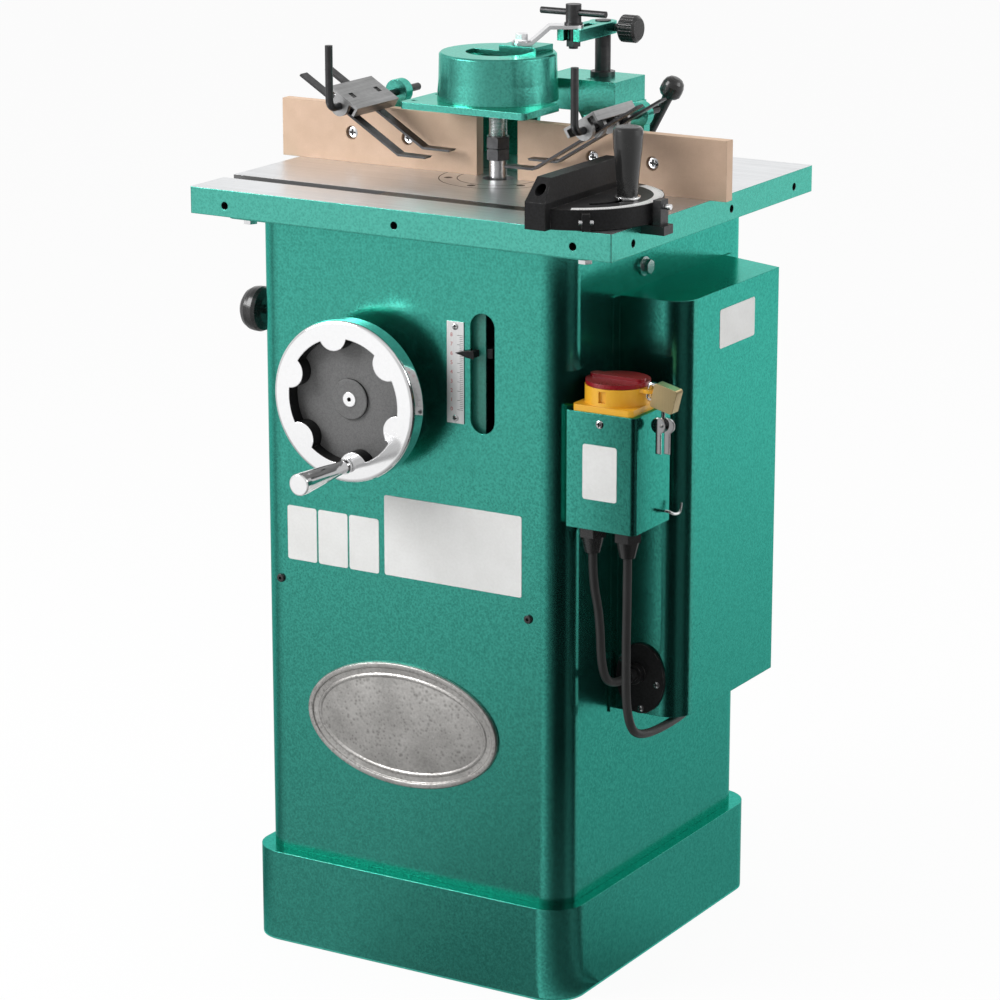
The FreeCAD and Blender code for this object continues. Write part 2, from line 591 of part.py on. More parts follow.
def build_switch():
    """Builds the switch box, its dial, the padlock and hook, the glands and both leads."""
    right = WALL_X + S.box_out
    top = T.box_low + S.box_tall
    points = [(WALL_X, BOX_FRONT), (right, BOX_FRONT), (right, BOX_FRONT + S.box_deep),
              (WALL_X, BOX_FRONT + S.box_deep)]

    def outer(edge):
        return upright(edge) and edge.Vertexes[0].Point.x > float(right) - 1

    keep("switch_box", pad("switch_case", "XY_Plane", points, S.box_tall, (0, 0, T.box_low), 5.0, outer))

    half = S.dial_plate / 2
    plate = pad("dial_plate_body", "XY_Plane",
                [(-half, -half), (half, -half), (half, half), (-half, half)],
                S.dial_plate_thick, (DIAL_X, DIAL_Y, top), 5.0)
    collar = rod("dial_collar", (DIAL_X, DIAL_Y, top + S.dial_plate_thick - 1), S.dial_radius, S.collar_tall)
    window = span("dial_window", (DIAL_X - 4, DIAL_X + 4), (DIAL_Y - S.dial_radius - 2,
                  DIAL_Y - S.dial_radius + 3), (top + S.dial_plate_thick + 4, top + S.dial_plate_thick + 16))
    eye_z = top + S.dial_plate_thick - 1 + S.collar_tall - 4
    eye_x = DIAL_X + S.dial_radius + S.eye_out
    eye_y = DIAL_Y - S.eye_front
    eye = fuse("collar_ear", rod("collar_eye", (eye_x, eye_y, eye_z), 6.8, 4.0),
               box("collar_tongue", (DIAL_X, eye_y - 6, eye_z), (S.dial_radius + S.eye_out, 12.0, 4.0)))
    eye_hole = rod("collar_eye_hole", (eye_x, eye_y, eye_z - 5), S.shackle_wire + 1.6, 30.0)
    keep("switch_collar", cut("switch_collar_cut", fuse("collar_all", plate, collar, eye), window, eye_hole))

    disc_low = top + S.dial_plate_thick - 1 + S.collar_tall + 0.3
    disc = rod("dial_disc", (DIAL_X, DIAL_Y, disc_low), S.dial_radius - 0.5, S.disc_tall)
    grip = box("dial_grip", (DIAL_X - S.dial_radius + 3, DIAL_Y - S.grip_wide / 2, disc_low),
               (S.dial_radius * 2 - 6, S.grip_wide, S.disc_tall + S.grip_tall))
    grip = rounded("dial_grip_round", grip, 5.5, upright)
    keep("switch_handle", fuse("switch_handle_all", disc, grip))

    build_padlock((eye_x, eye_y, eye_z + 2))

    glands = []
    ends = []
    for tag, step in (("a", -1), ("b", 1)):
        x = GLAND_X + step * S.gland_spread / 2
        ends.append(x)
        glands.append(hexagon("gland_nut_" + tag, (x, GLAND_Y, T.box_low - 13), S.gland_nut, 13.0))
        glands.append(cone("gland_dome_" + tag, (x, GLAND_Y, T.box_low - S.gland_long), S.lead_radius + 3.6,
                           S.gland_radius, S.gland_long - 12))
    low = T.box_low - S.gland_long
    mouth = connector_end()
    x = ends[0]
    drop = BOSS_Z
    cord("motor_lead", [
        (x, GLAND_Y, low), (x, GLAND_Y, low - 30), (mouth[0] - 1.5, GLAND_Y + 2, low - 70),
        (mouth[0], mouth[1] - 55.5, drop + 23), (mouth[0], mouth[1] - 32.5, drop), mouth], S.lead_radius)
    x = ends[1]
    level = GROMMET_Z
    near = S.grommet_y
    cord("supply_lead", [
        (x, GLAND_Y, low), (x, GLAND_Y, low - 50), (x - 1, GLAND_Y + 0.5, low - 100),
        (x + 0.5, GLAND_Y - 0.5, level + 30),
        (x + 1, GLAND_Y + 29.5, level), (x + 2, near - 23.6, level), (x - 21.6, near, level),
        (WALL_X + S.grommet_long, near, level)], S.lead_radius)
    flange = cone("grommet_cone", (WALL_X, S.grommet_y, GROMMET_Z), S.grommet_radius, S.lead_radius + 1.5,
                  S.grommet_long, "X")
    neck = rod("grommet_neck", (WALL_X - S.sheet, S.grommet_y, GROMMET_Z), S.grommet_radius - 3,
               S.sheet + 1, "X")
    keep("cable_glands", fuse("cable_glands_all", flange, neck, *glands))


def build_padlock(at):
    """Builds the padlock that hangs from the collar's eye, its keys, and the hook on the box."""
    right = WALL_X + S.box_out
    body = box("padlock_block", (S.shackle_leg, -S.lock_thick / 2, -S.lock_width / 2),
               (S.lock_tall, S.lock_thick, S.lock_width))
    body = rounded("padlock_round", body, 3.0, lambda edge: along(edge, VEC(0, 1, 0)))
    lean = FreeCAD.Rotation(VEC(0, 1, 0), float(S.lock_lean))
    keep("padlock_body", put(body, at, lean))
    left = S.shackle_leg
    bow = wire("shackle_bow", [(left, 0, 8.5), (0, 0, 8.5), (0, 0, -8.5), (left, 0, -8.5)], S.shackle_wire)
    put(bow, at, lean)
    x = at[0] + 17
    low = at[2] - S.key_drop
    keys = []
    for tag, step in (("a", -4.0), ("b", 4.0)):
        y = at[1] + step * 0.5 - 1
        keys.append(rod("key_bow_" + tag, (x + step, y, low), 8.5, 1.8, "Y"))
        keys.append(box("key_blade_" + tag, (x + step - 3, y, low - 30), (6.0, 1.8, 24.0)))
    bar = rod("key_bar", (x, at[1] - 5, low), 1.2, 8.0, "Y")
    stem = rod("key_stem", (x, at[1], low + 1), 2.0, S.key_drop - 19.4)
    keep("padlock_shackle", fuse("padlock_steel_all", bow, bar, stem, *keys))
    keep("key_hook", wire("hook_sweep", [
        (right, HOOK_Y, HOOK_Z), (right + 9, HOOK_Y, HOOK_Z), (right + 10, HOOK_Y + 12, HOOK_Z - 6),
        (right + 10, HOOK_Y + 24, HOOK_Z - 7), (right + 10, HOOK_Y + 27, HOOK_Z + 3)], S.hook_wire))


def bevel_gear(label, teeth, pitch, face, tall, hub, hub_long, hole, phase):
    """Makes a mitre gear about Z with its pitch apex at the origin and its teeth facing up from below it."""
    slant = math.radians(45.0)
    count = int(round(float(teeth)))
    pitch = float(pitch)
    outer_cone = pitch / math.sin(slant)
    tooth_half = math.pi * pitch / count / 2.0
    addendum = float(tall) * 0.45
    dedendum = float(tall) - addendum
    solids = []

    def corner(distance, height, half):
        """A point on the tooth at a cone distance, a height off the pitch cone and a half width."""
        scale = distance / outer_cone
        radial = distance * math.sin(slant) + height * scale * math.cos(slant)
        level = -distance * math.cos(slant) + height * scale * math.sin(slant)
        return radial, half * scale, level

    root_out = corner(outer_cone, -dedendum, 0.0)
    root_in = corner(outer_cone - float(face), -dedendum, 0.0)
    back = root_out[2] - 5.0
    profile = [VEC(float(hole), 0, back - float(hub_long)), VEC(float(hub), 0, back - float(hub_long)),
               VEC(float(hub), 0, back), VEC(root_out[0] - 3.0, 0, back), VEC(root_out[0], 0, root_out[2]),
               VEC(root_in[0], 0, root_in[2]), VEC(float(hole), 0, root_in[2])]
    blank = Part.Face(Part.makePolygon(profile + profile[:1])).revolve(VEC(0, 0, 0), VEC(0, 0, 1), 360)
    solids.append(blank)
    widths = ((-dedendum - 0.8, tooth_half * 0.68), (0.0, tooth_half * 0.44), (addendum, tooth_half * 0.22))
    loops = []
    for distance in (outer_cone, outer_cone - float(face)):
        points = []
        for height, half in widths:
            points.append(VEC(*corner(distance, height, half)))
        for height, half in reversed(widths):
            points.append(VEC(*corner(distance, height, -half)))
        loops.append(Part.makePolygon(points + points[:1]))
    tooth = Part.makeLoft(loops, True, True)
    for i in range(count):
        piece = tooth.copy()
        piece.rotate(VEC(0, 0, 0), VEC(0, 0, 1), 360.0 * (i + float(phase)) / count)
        solids.append(piece)
    shape = solids[0].multiFuse(solids[1:]).removeSplitter()
    obj = doc.addObject("Part::Feature", label + "_shape")
    obj.Shape = shape.Solids[0] if len(shape.Solids) == 1 else shape
    return obj


def build_lift():
    """Builds the fixed ways, the carriage with its quill, the lift screw and its bevel gears."""
    half = S.column_width / 2
    back = S.column_front + S.column_thick
    plate = span("column_plate", (-half, half), (S.column_front, back),
                 (T.column_low, FLANGE_LOW + S.flange_thick))
    foot = span("column_foot", (-half, half), (S.column_front, back + 30), (TABLE_LOW - 5, TABLE_LOW))
    shelf_low = T.wheel_z - S.gear_pitch - S.screw_drop
    shelf = span("screw_shelf", (-half - 16, S.wheel_x + 20), (S.screw_y - 16, S.column_front + 1),
                 (shelf_low, shelf_low + 14))
    side = -half - S.cheek_gap
    cheek = span("shaft_cheek", (side - S.cheek_thick, side), (S.cheek_front, S.column_front),
                 (shelf_low, T.wheel_z + 22))
    tie = span("cheek_tie", (-half - 21, -half + 1), (S.column_front, S.column_front + 14),
               (shelf_low, T.wheel_z + 22))
    tie_shelf = span("shelf_tie", (-half - 21, -half - 10), (S.screw_y - 16, S.column_front),
                     (shelf_low, shelf_low + 14))
    lug = span("shaft_lug", (side - 1, S.wheel_x + 13), (S.cheek_front, S.cheek_front + S.lug_wide),
               (T.wheel_z - S.lug_wide, T.wheel_z + S.lug_wide))
    shaft = rod("lug_bore", (S.wheel_x, S.cheek_front - 6, T.wheel_z), S.shaft_radius + S.run_gap,
                S.lug_wide + 12, "Y")
    screw = rod("shelf_bore", (S.wheel_x, S.screw_y, shelf_low - 5), S.screw_radius + S.run_gap, 30.0)
    keep("slide_column", cut("column_cut", fuse("column_all", plate, foot, shelf, cheek, tie, tie_shelf, lug),
                             shaft, screw))

    face = S.column_front - S.slide_gap
    quill = rod("quill", (0, S.spindle_y, T.quill_low), S.quill_radius, T.quill_high - T.quill_low)
    block = span("slide_block", (-S.block_half, S.block_half), (S.block_front, face),
                 (T.block_low, T.block_high))
    lock_arm = span("lock_arm", (S.lock_plate_x, -S.block_half + 1), (S.block_front, S.block_front + 24),
                    (T.block_high - 16, T.block_high))
    lock_plate = span("lock_plate", (S.lock_plate_x, S.lock_plate_x + 6), (S.lock_y - 16, S.block_front + 24),
                      (T.lock_z - 30, T.block_high))
    arm_y = S.spindle_y - 20
    arm_high = T.pointer_z + 5
    cross = span("pointer_cross", (8.0, S.height_slot_x + 7), (arm_y, arm_y + 11),
                 (T.pointer_z - 5, arm_high))
    arm = span("pointer_arm", (S.height_slot_x - 7, S.height_slot_x + 7), (FRONT_Y + 9, arm_y + 5),
               (T.pointer_z - 5, arm_high))
    low_bore = rod("quill_bore", (0, S.spindle_y, T.quill_low - 5), S.bearing_radius,
                   T.quill_high - T.quill_low + 10)
    nut_bore = rod("nut_bore", (S.wheel_x, S.screw_y, T.block_low - 5), 13.0, T.block_high - T.block_low + 10)
    slider = cut("carriage_cut", fuse("carriage_main", quill, block, lock_arm, lock_plate, cross, arm),
                 low_bore, nut_bore)
    bearings = [ring("bearing_low", (0, S.spindle_y, T.quill_low), S.bearing_radius,
                     S.spindle_body + S.run_gap,
                     S.bearing_wide),
                ring("bearing_high", (0, S.spindle_y, T.quill_high - S.bearing_wide), S.bearing_radius,
                     S.spindle_body + S.run_gap, S.bearing_wide)]
    nut = ring("lift_nut_ring", (S.wheel_x, S.screw_y, T.block_low), 13.0, S.screw_radius + S.run_gap,
               T.block_high - T.block_low)
    gibs = []
    for tag, side in (("l", -1), ("r", 1)):
        inner = half + S.slide_gap
        outer = half + S.gib_thick + S.slide_gap
        xs = (-outer, -inner) if side < 0 else (inner, outer)
        hook_xs = (-outer, -half + 14) if side < 0 else (half - 14, outer)
        wall = span("gib_wall_" + tag, xs, (face, back + S.slide_gap + 8), (T.block_low, T.block_high))
        lip = span("gib_lip_" + tag, hook_xs, (back + S.slide_gap, back + S.slide_gap + 8),
                   (T.block_low, T.block_high))
        gibs.append(fuse("gib_" + tag, wall, lip))
    keep("carriage", fuse("carriage_all", slider, *gibs))
    keep("carriage_bushes", fuse("carriage_bushes_all", nut, *bearings))

    edge = S.height_slot_x - S.height_slot_width / 2
    stem = box("pointer_stem", (edge + 1.5, FRONT_Y - 5, T.pointer_z - 3.5), (5.0, 12.0, 7.0))
    blade = pad("pointer_blade", "XZ_Plane", [
        (S.scale_x + 2, T.pointer_z), (edge - 1, T.pointer_z - 4), (edge + 6.5, T.pointer_z - 4.5),
        (edge + 6.5, T.pointer_z + 4.5), (edge - 1, T.pointer_z + 4)], 1.6,
        (0, FRONT_Y - 3.4, 0))
    keep("height_pointer", fuse("height_pointer_all", stem, blade))
    keep("slot_shield", span("slot_shield_box", (S.height_slot_x - S.shield_edge, S.height_slot_x),
                             (FRONT_Y + 7, FRONT_Y + 9), (T.height_slot_low - S.shield_low_rise,
                                                           T.height_slot_high + S.shield_high_rise)))

    screw_low = shelf_low - 6
    threaded = turned("lift_screw_body", [
        (0.0, screw_low), (S.screw_radius, screw_low), (S.screw_radius, TABLE_LOW - 10),
        (0.0, TABLE_LOW - 10)],
        (S.wheel_x, S.screw_y, 0))
    collar = rod("screw_collar", (S.wheel_x, S.screw_y, screw_low - 8), S.screw_radius + 6, 8.5)
    keep("lift_screw", fuse("lift_screw_all", threaded, collar))
    gear = bevel_gear("bevel_gear", S.gear_teeth, S.gear_pitch, S.gear_face, S.tooth_tall, 12.0, 9.0,
                      S.screw_radius, 0.0)
    keep("bevel_gear", put(gear, (S.wheel_x, S.screw_y, T.wheel_z)))
    pinion = bevel_gear("bevel_pinion", S.gear_teeth, S.gear_pitch, S.gear_face, S.tooth_tall, 12.0, 9.0,
                        S.shaft_radius, 0.5)
    turn = FreeCAD.Rotation(VEC(1, 0, 0), -90)
    keep("bevel_pinion", put(pinion, (S.wheel_x, S.screw_y, T.wheel_z), turn))


def pulley(name, at, radius, hole):
    """Makes a pulley with one straight-sided groove."""
    low = (S.pulley_tall - S.belt_wide) / 2 - 0.3
    high = (S.pulley_tall + S.belt_wide) / 2 + 0.3
    floor = radius - S.groove_deep
    return turned(name, [
        (hole, 0.0), (radius, 0.0), (radius, low), (floor, low), (floor, high), (radius, high),
        (radius, S.pulley_tall), (hole, S.pulley_tall)], at)


def build_drive():
    """Builds the spindle, its nuts and pulley, the motor with its plate and pulley, and the belt."""
    shoulder = T.quill_high + 6
    arbor = turned("spindle_body_turned", [
        (0.0, T.spindle_low), (S.spindle_body, T.spindle_low), (S.spindle_body, shoulder - 6),
        (S.spindle_body, shoulder), (S.spindle_radius, shoulder), (S.spindle_radius, T.spindle_top - 1.5),
        (S.spindle_radius - 1.5, T.spindle_top), (0.0, T.spindle_top)], (0, S.spindle_y, 0))
    nuts = []
    for i in range(2):
        low = T.nut_low + i * (S.nut_tall + 0.4)
        raw = hexagon("nut_hex%d" % i, (0, S.spindle_y, low), S.nut_flats, S.nut_tall)
        tall = S.nut_tall
        wide = S.nut_flats / math.sqrt(3.0)
        trim = turned("nut_trim%d" % i, [
            (0.0, 0.0), (wide - 1.4, 0.0), (wide + 0.6, 1.2), (wide + 0.6, tall - 1.2), (wide - 1.4, tall),
            (0.0, tall)], (0, S.spindle_y, low))
        nuts.append(common("nut%d" % i, raw, trim))
    washer = rod("nut_washer", (0, S.spindle_y, T.nut_low + S.nut_tall - 0.1), S.nut_flats * 0.46, 0.6)
    solid = fuse("nuts_solid", washer, *nuts)
    keep("spindle_nuts", cut("spindle_nuts_cut", solid, rod("nut_hole", (0, S.spindle_y, T.nut_low - 5),
                                                           S.spindle_radius, 2 * S.nut_tall + 20)))
    keep("spindle", fuse("spindle_all", arbor, pulley("spindle_pulley_body", (0, S.spindle_y, PULLEY_LOW),
                                                      S.spindle_pulley, S.spindle_body - 1)))
    wheel = pulley("motor_pulley_body", (MOTOR_X, S.motor_y, PULLEY_LOW), S.motor_pulley,
                   S.motor_shaft_radius - 1)
    axle = rod("motor_shaft_rod", (MOTOR_X, S.motor_y, T.motor_high - 30), S.motor_shaft_radius,
               PULLEY_LOW + S.pulley_tall - T.motor_high + 34)
    keep("motor_pulley", fuse("motor_pulley_all", wheel, axle))

    bell = S.motor_radius - 12
    body = turned("motor_body", [
        (0.0, MOTOR_LOW), (bell, MOTOR_LOW), (bell, MOTOR_LOW + 26), (S.motor_radius, MOTOR_LOW + 32),
        (S.motor_radius, T.motor_high - 34), (bell, T.motor_high - 28), (bell, T.motor_high),
        (S.motor_shaft_radius + S.run_gap, T.motor_high),
        (S.motor_shaft_radius + S.run_gap, T.motor_high - 36),
        (0.0, T.motor_high - 36)], (MOTOR_X, S.motor_y, 0))
    keep("motor", body)
    floor = span("motor_floor", (S.block_half, MOTOR_X + 66), (S.motor_y - 64, S.motor_y + 64),
                 (T.motor_high, T.motor_high + S.plate_thick))
    web = span("motor_web", (S.block_half, S.block_half + 12), (S.column_front - 14, S.column_front - 1),
               (T.motor_high, T.block_high))
    hole = rod("plate_hole", (MOTOR_X, S.motor_y, T.motor_high - 5), S.motor_shaft_radius + 4, 30.0)
    keep("motor_plate", cut("motor_plate_cut", fuse("motor_plate_all", floor, web), hole))

    belt_loop()


def belt_loop():
    """Builds the belt as two tangent runs and two arcs, clear of both groove floors."""
    low = float(PULLEY_LOW + (S.pulley_tall - S.belt_wide) / 2)
    centres = (VEC(0, float(S.spindle_y), low), VEC(float(MOTOR_X), float(S.motor_y), low))
    radii = [float(S.spindle_pulley - S.groove_deep) + 0.4, float(S.motor_pulley - S.groove_deep) + 0.4]

    def face(extra):
        first, second = radii[0] + extra, radii[1] + extra
        gap = centres[1] - centres[0]
        heading = math.atan2(gap.y, gap.x)
        lean = math.acos((first - second) / gap.Length)
        ends = []
        for sign in (1, -1):
            angle = heading + sign * lean
            way = VEC(math.cos(angle), math.sin(angle), 0)
            ends.append((centres[0] + way * first, centres[1] + way * second))
        far = centres[1] + VEC(math.cos(heading), math.sin(heading), 0) * second
        near = centres[0] - VEC(math.cos(heading), math.sin(heading), 0) * first
        edges = [Part.LineSegment(ends[0][0], ends[0][1]).toShape(),
                 Part.Arc(ends[0][1], far, ends[1][1]).toShape(),
                 Part.LineSegment(ends[1][1], ends[1][0]).toShape(),
                 Part.Arc(ends[1][0], near, ends[0][0]).toShape()]
        return Part.Face(Part.Wire(edges))

    band = face(float(S.belt_thick)).cut(face(0.0)).extrude(VEC(0, 0, float(S.belt_wide)))
    obj = doc.addObject("Part::Feature", "drive_belt_shape")
    obj.Shape = band
    keep("drive_belt", obj)


def build_handwheel():
    """Builds the handwheel with its lobed rim, the shaft, the crank and the lock knob."""
    at = (S.wheel_x, RIM_FRONT, T.wheel_z)
    outer = S.rim_radius
    wide = S.rim_wide

    def outer_edge(edge):
        return isinstance(edge.Curve, Part.Circle) and edge.Curve.Radius > float(outer) - 0.01

    rim = turned("rim_ring", [(S.rim_inner, 0.0), (outer, 0.0), (outer, wide), (S.rim_inner, wide)], at, "Y",
                 S.rim_round, outer_edge)
    lobes = []
    gaps = []
    web_front = RIM_FRONT + S.web_in
    count = int(round(float(S.lobe_count)))
    for i in range(count):
        angle = math.radians(float(S.lobe_turn) + 360.0 * i / count)
        x = S.wheel_x + (S.rim_inner + S.lobe_reach) * math.cos(angle)
        z = T.wheel_z + (S.rim_inner + S.lobe_reach) * math.sin(angle)
        lobes.append(rod("lobe%d" % i, (x, RIM_FRONT, z), S.lobe_radius, wide, "Y"))
        gaps.append(rod("lobe_gap%d" % i, (x, web_front - 9, z), S.lobe_radius, S.web_thick + 18, "Y"))
    inside = rod("lobe_limit", (S.wheel_x, RIM_FRONT, T.wheel_z), S.rim_inner + 2, wide, "Y")
    solid = fuse("rim_all", rim, common("lobes_in", fuse("lobes", *lobes), inside))
    pin_at = (S.wheel_x + 4, RIM_FRONT - 5, T.wheel_z - S.crank_arm)
    keep("handwheel_rim", cut("rim_cut", solid, rod("pin_hole", pin_at, S.pin_radius, 15.0, "Y")))
    disc = rod("web_disc", (S.wheel_x, web_front, T.wheel_z), S.rim_inner, S.web_thick, "Y")
    hub_front = web_front - S.hub_rise
    hub_long = FRONT_Y - 4 - hub_front
    hub = turned("wheel_hub", [
        (S.shaft_radius, 0.0), (S.hub_radius - 0.8, 0.0), (S.hub_radius, 0.8), (S.hub_radius, hub_long),
        (S.shaft_radius, hub_long)], (S.wheel_x, hub_front, T.wheel_z), "Y")
    bore = rod("web_bore", (S.wheel_x, web_front - 9, T.wheel_z), S.shaft_radius, 40.0, "Y")
    web = cut("web_cut", disc, bore, *gaps)
    keep("handwheel_web", fuse("web_all", web, hub))

    end = hub_front - 0.8
    toe = S.screw_y - 14
    bar = rod("wheel_shaft_rod", (S.wheel_x, end, T.wheel_z), S.shaft_radius, toe - end, "Y")
    shaft = cut("wheel_shaft_cut", bar, rod("wheel_centre", (S.wheel_x, end - 1, T.wheel_z), S.centre_hole,
                                            7.0, "Y"))
    bush = turned("shaft_bush", [
        (S.shaft_radius + S.run_gap, -4.0), (S.shaft_radius + 6, -4.0), (S.shaft_radius + 6, S.sheet),
        (S.shaft_radius + 12, S.sheet), (S.shaft_radius + 12, S.sheet + 5),
        (S.shaft_radius + S.run_gap, S.sheet + 5)],
        (S.wheel_x, FRONT_Y, T.wheel_z), "Y")
    keep("shaft_bushing", bush)

    down = T.wheel_z - S.crank_arm
    front = RIM_FRONT
    pin_x = S.wheel_x + 4
    pin_long = S.crank_long - 16
    pin = rod("crank_pin_rod", (pin_x, front - pin_long, down), S.pin_radius, pin_long + 10, "Y")
    keep("handwheel_shaft", fuse("handwheel_shaft_all", shaft, pin))
    inner = S.pin_radius + S.run_gap
    long = S.crank_long - 1
    handle = turned("crank_handle_body", [
        (inner, 0.0), (S.crank_root, 0.0), (S.crank_root + 0.6, 4.0), (S.crank_root - 0.8, 7.0),
        (S.crank_root - 0.4, 20.0), (S.crank_root + 1.2, 38.0), (S.crank_end - 1.6, 58.0),
        (S.crank_end, long - 9),
        (S.crank_end, long - 1.2), (S.crank_end - 1.2, long), (0.0, long), (0.0, pin_long + 1),
        (inner, pin_long + 1)],
        (pin_x, front - 0.6, down), "-Y")
    keep("crank_handle", handle)

    start = -WALL_X - S.lock_out
    wide = S.lock_radius
    grip = turned("lock_grip", [
        (0.0, 0.0), (wide * 0.34, 0.6), (wide * 0.64, 3.0), (wide * 0.86, 7.6), (wide * 0.97, 13.0),
        (wide, 18.0),
        (wide, S.lock_knob_long - 7), (wide * 0.93, S.lock_knob_long - 3), (wide * 0.62, S.lock_knob_long),
        (0.0, S.lock_knob_long)], (start, S.lock_y, T.lock_z), "X")
    stem = rod("lock_stem", (start + S.lock_knob_long - 1, S.lock_y, T.lock_z), 5.0,
               S.lock_plate_x - 0.5 - (start + S.lock_knob_long - 1), "X")
    keep("lock_knob", fuse("lock_knob_all", grip, stem))


def build_fence():
    """Builds the fence casting with its post, both boards with their screws, and the lock lever."""
    low = S.table_height
    half = S.chamber_half
    roof = T.chamber_high
    front = BOARD_BACK
    deep = BOARD_BACK + S.wing_thick
    walls = [
        span("roof", (-half, half), (front + S.roof_set, S.chamber_back), (roof - S.wall, roof)),
        span("back", (-half, half), (S.chamber_back - S.wall, S.chamber_back), (low, roof)),
        span("side_l", (-half, -half + S.wall), (front, S.chamber_back), (low, roof)),
        span("side_r", (half - S.wall, half), (front, S.chamber_back), (low, roof)),
        span("wing_l", (-S.wing_out, -S.wing_in), (front, deep), (T.wing_low, T.wing_high)),
        span("wing_r", (S.wing_in, S.wing_out), (front, deep), (T.wing_low, T.wing_high)),
        span("foot_l", (-half - 42, -half + 1), (deep + 18, S.chamber_back), (low, low + 12)),
        span("foot_r", (half - 1, half + 42), (deep + 18, S.chamber_back), (low, low + 12)),
        span("post_block", (S.post_x - S.bracket_left, S.post_x + S.bracket_right),
             (front + S.roof_set, S.chamber_back),
             (roof - 2, T.bracket_high)),
        rod("lever_boss", (S.lever_x, S.lever_y - 16, T.lever_z), 12.0, 8.0, "Y"),
        span("lever_web", (half - 1, S.lever_x + 12), (S.lever_y - 16, S.lever_y - 8), (low + 10, T.lever_z)),
    ]
    holes = [
        span("nut_way_l", (-half - 1, -half + S.wall + 1), (deep, deep + 9),
             (T.screw_z - 11, T.screw_z + 11)),
        span("nut_way_r", (half - S.wall - 1, half + 1), (deep, deep + 9), (T.screw_z - 11, T.screw_z + 11)),
        rod("shelf_hole", (S.post_x + 1, S.post_y - 31, T.bracket_high - 16), 4.0, 30.0),
        rod("chip_outlet", (0, S.chamber_back - S.wall - 5, low + 37), S.outlet_radius, S.wall + 10, "Y"),
    ]
    for tag, side in (("l", -1), ("r", 1)):
        x = side * S.rod_x
        walls.append(rod("rod_lug_" + tag, (x, S.lug_low_y, T.rod_z), S.lug_radius, S.lug_long, "Y"))
        walls.append(span("rod_leg_" + tag, (x - 9, x + 9), (S.lug_low_y, S.lug_low_y + S.lug_long),
                          (T.wing_high - 14, T.rod_z - 4)))
        walls.append(span("rod_root_" + tag, (x - 9, x + 9), (deep - 2, S.lug_low_y + S.lug_long),
                          (T.wing_high - 14, T.wing_high)))
        holes.append(rod("rod_bore_" + tag, (x, S.lug_low_y - 5, T.rod_z), S.rod_radius + S.run_gap,
                         S.lug_long + 10, "Y"))
        for i, place in enumerate((S.screw_inner, S.screw_outer)):
            holes.append(side_slot("wing_slot_%s%d" % (tag, i), side * place, 4.6, S.board_travel, T.screw_z,
                                   (front - 5, deep + 5)))
    keep("fence_casting", cut("fence_cut", fuse("fence_all", *walls), *holes))

    post = turned("guard_post_body", [
        (0.0, T.bracket_high), (S.post_radius + 5, T.bracket_high), (S.post_radius + 5, T.bracket_high + 5),
        (S.post_radius, T.bracket_high + 5), (S.post_radius, ARM_TOP + 1), (0.0, ARM_TOP + 1)],
        (S.post_x, S.post_y, 0))
    keep("guard_post", post)

    for tag, side, start in (("left", -1, S.left_board_x), ("right", 1, S.right_board_x)):
        points = [(start, S.table_height), (start + S.board_long, S.table_height),
                  (start + S.board_long, BOARD_TOP), (start, BOARD_TOP)]
        board = pad(tag + "_board_pad", "XZ_Plane", points, S.board_thick, (0, BOARD_BACK, 0))
        screws = []
        recesses = []
        for i, place in enumerate((S.screw_inner, S.screw_outer)):
            x = side * place
            recesses.append(rod("%s_recess%d" % (tag, i), (x, S.board_front - 2, T.screw_z), S.slot_half,
                                9.0, "Y"))
            recesses.append(rod("%s_hole%d" % (tag, i), (x, S.board_front - 2, T.screw_z), 3.5, 30.0, "Y"))
            head = cone("%s_screw_head%d" % (tag, i), (x, S.board_front + 3, T.screw_z), S.screw_head, 3.5,
                        4.0, "Y")
            shank = rod("%s_screw_shank%d" % (tag, i), (x, S.board_front + 3, T.screw_z), 3.5,
                        S.board_thick + S.wing_thick + 6 - 3, "Y")
            nut = rod("%s_screw_nut%d" % (tag, i), (x, deep + 0.4, T.screw_z), 9.0, 5.0, "Y")
            screws += [fuse("%s_screw%d" % (tag, i), head, shank, nut)]
        keep(tag + "_board", cut(tag + "_board_cut", board, *recesses))
        keep(tag + "_screws", fuse(tag + "_screws_all", *screws))

    lean = FreeCAD.Rotation(VEC(0, 1, 0), float(S.lever_lean))
    arm = turned("lever_arm", [
        (0.0, 0.0), (5.0, 0.0), (4.4, 12.0), (5.8, S.lever_long - 27), (6.4, S.lever_long - 24),
        (S.lever_knob * 0.8, S.lever_long - 22), (S.lever_knob * 0.97, S.lever_long - 19),
        (S.lever_knob, S.lever_long - 14),
        (S.lever_knob * 0.97, S.lever_long - 9), (S.lever_knob * 0.84, S.lever_long - 4.5),
        (S.lever_knob * 0.6, S.lever_long - 1.5), (S.lever_knob * 0.3, S.lever_long - 0.2),
        (0.0, S.lever_long)],
        (S.lever_x, S.lever_y, T.lever_z))
    arm.Placement = FreeCAD.Placement(arm.Placement.Base, lean)
    hub = rod("lever_hub", (S.lever_x, S.lever_y - 7.7, T.lever_z), 9.0, 15.4, "Y")
    keep("fence_lock_lever", fuse("lever_all", arm, hub))


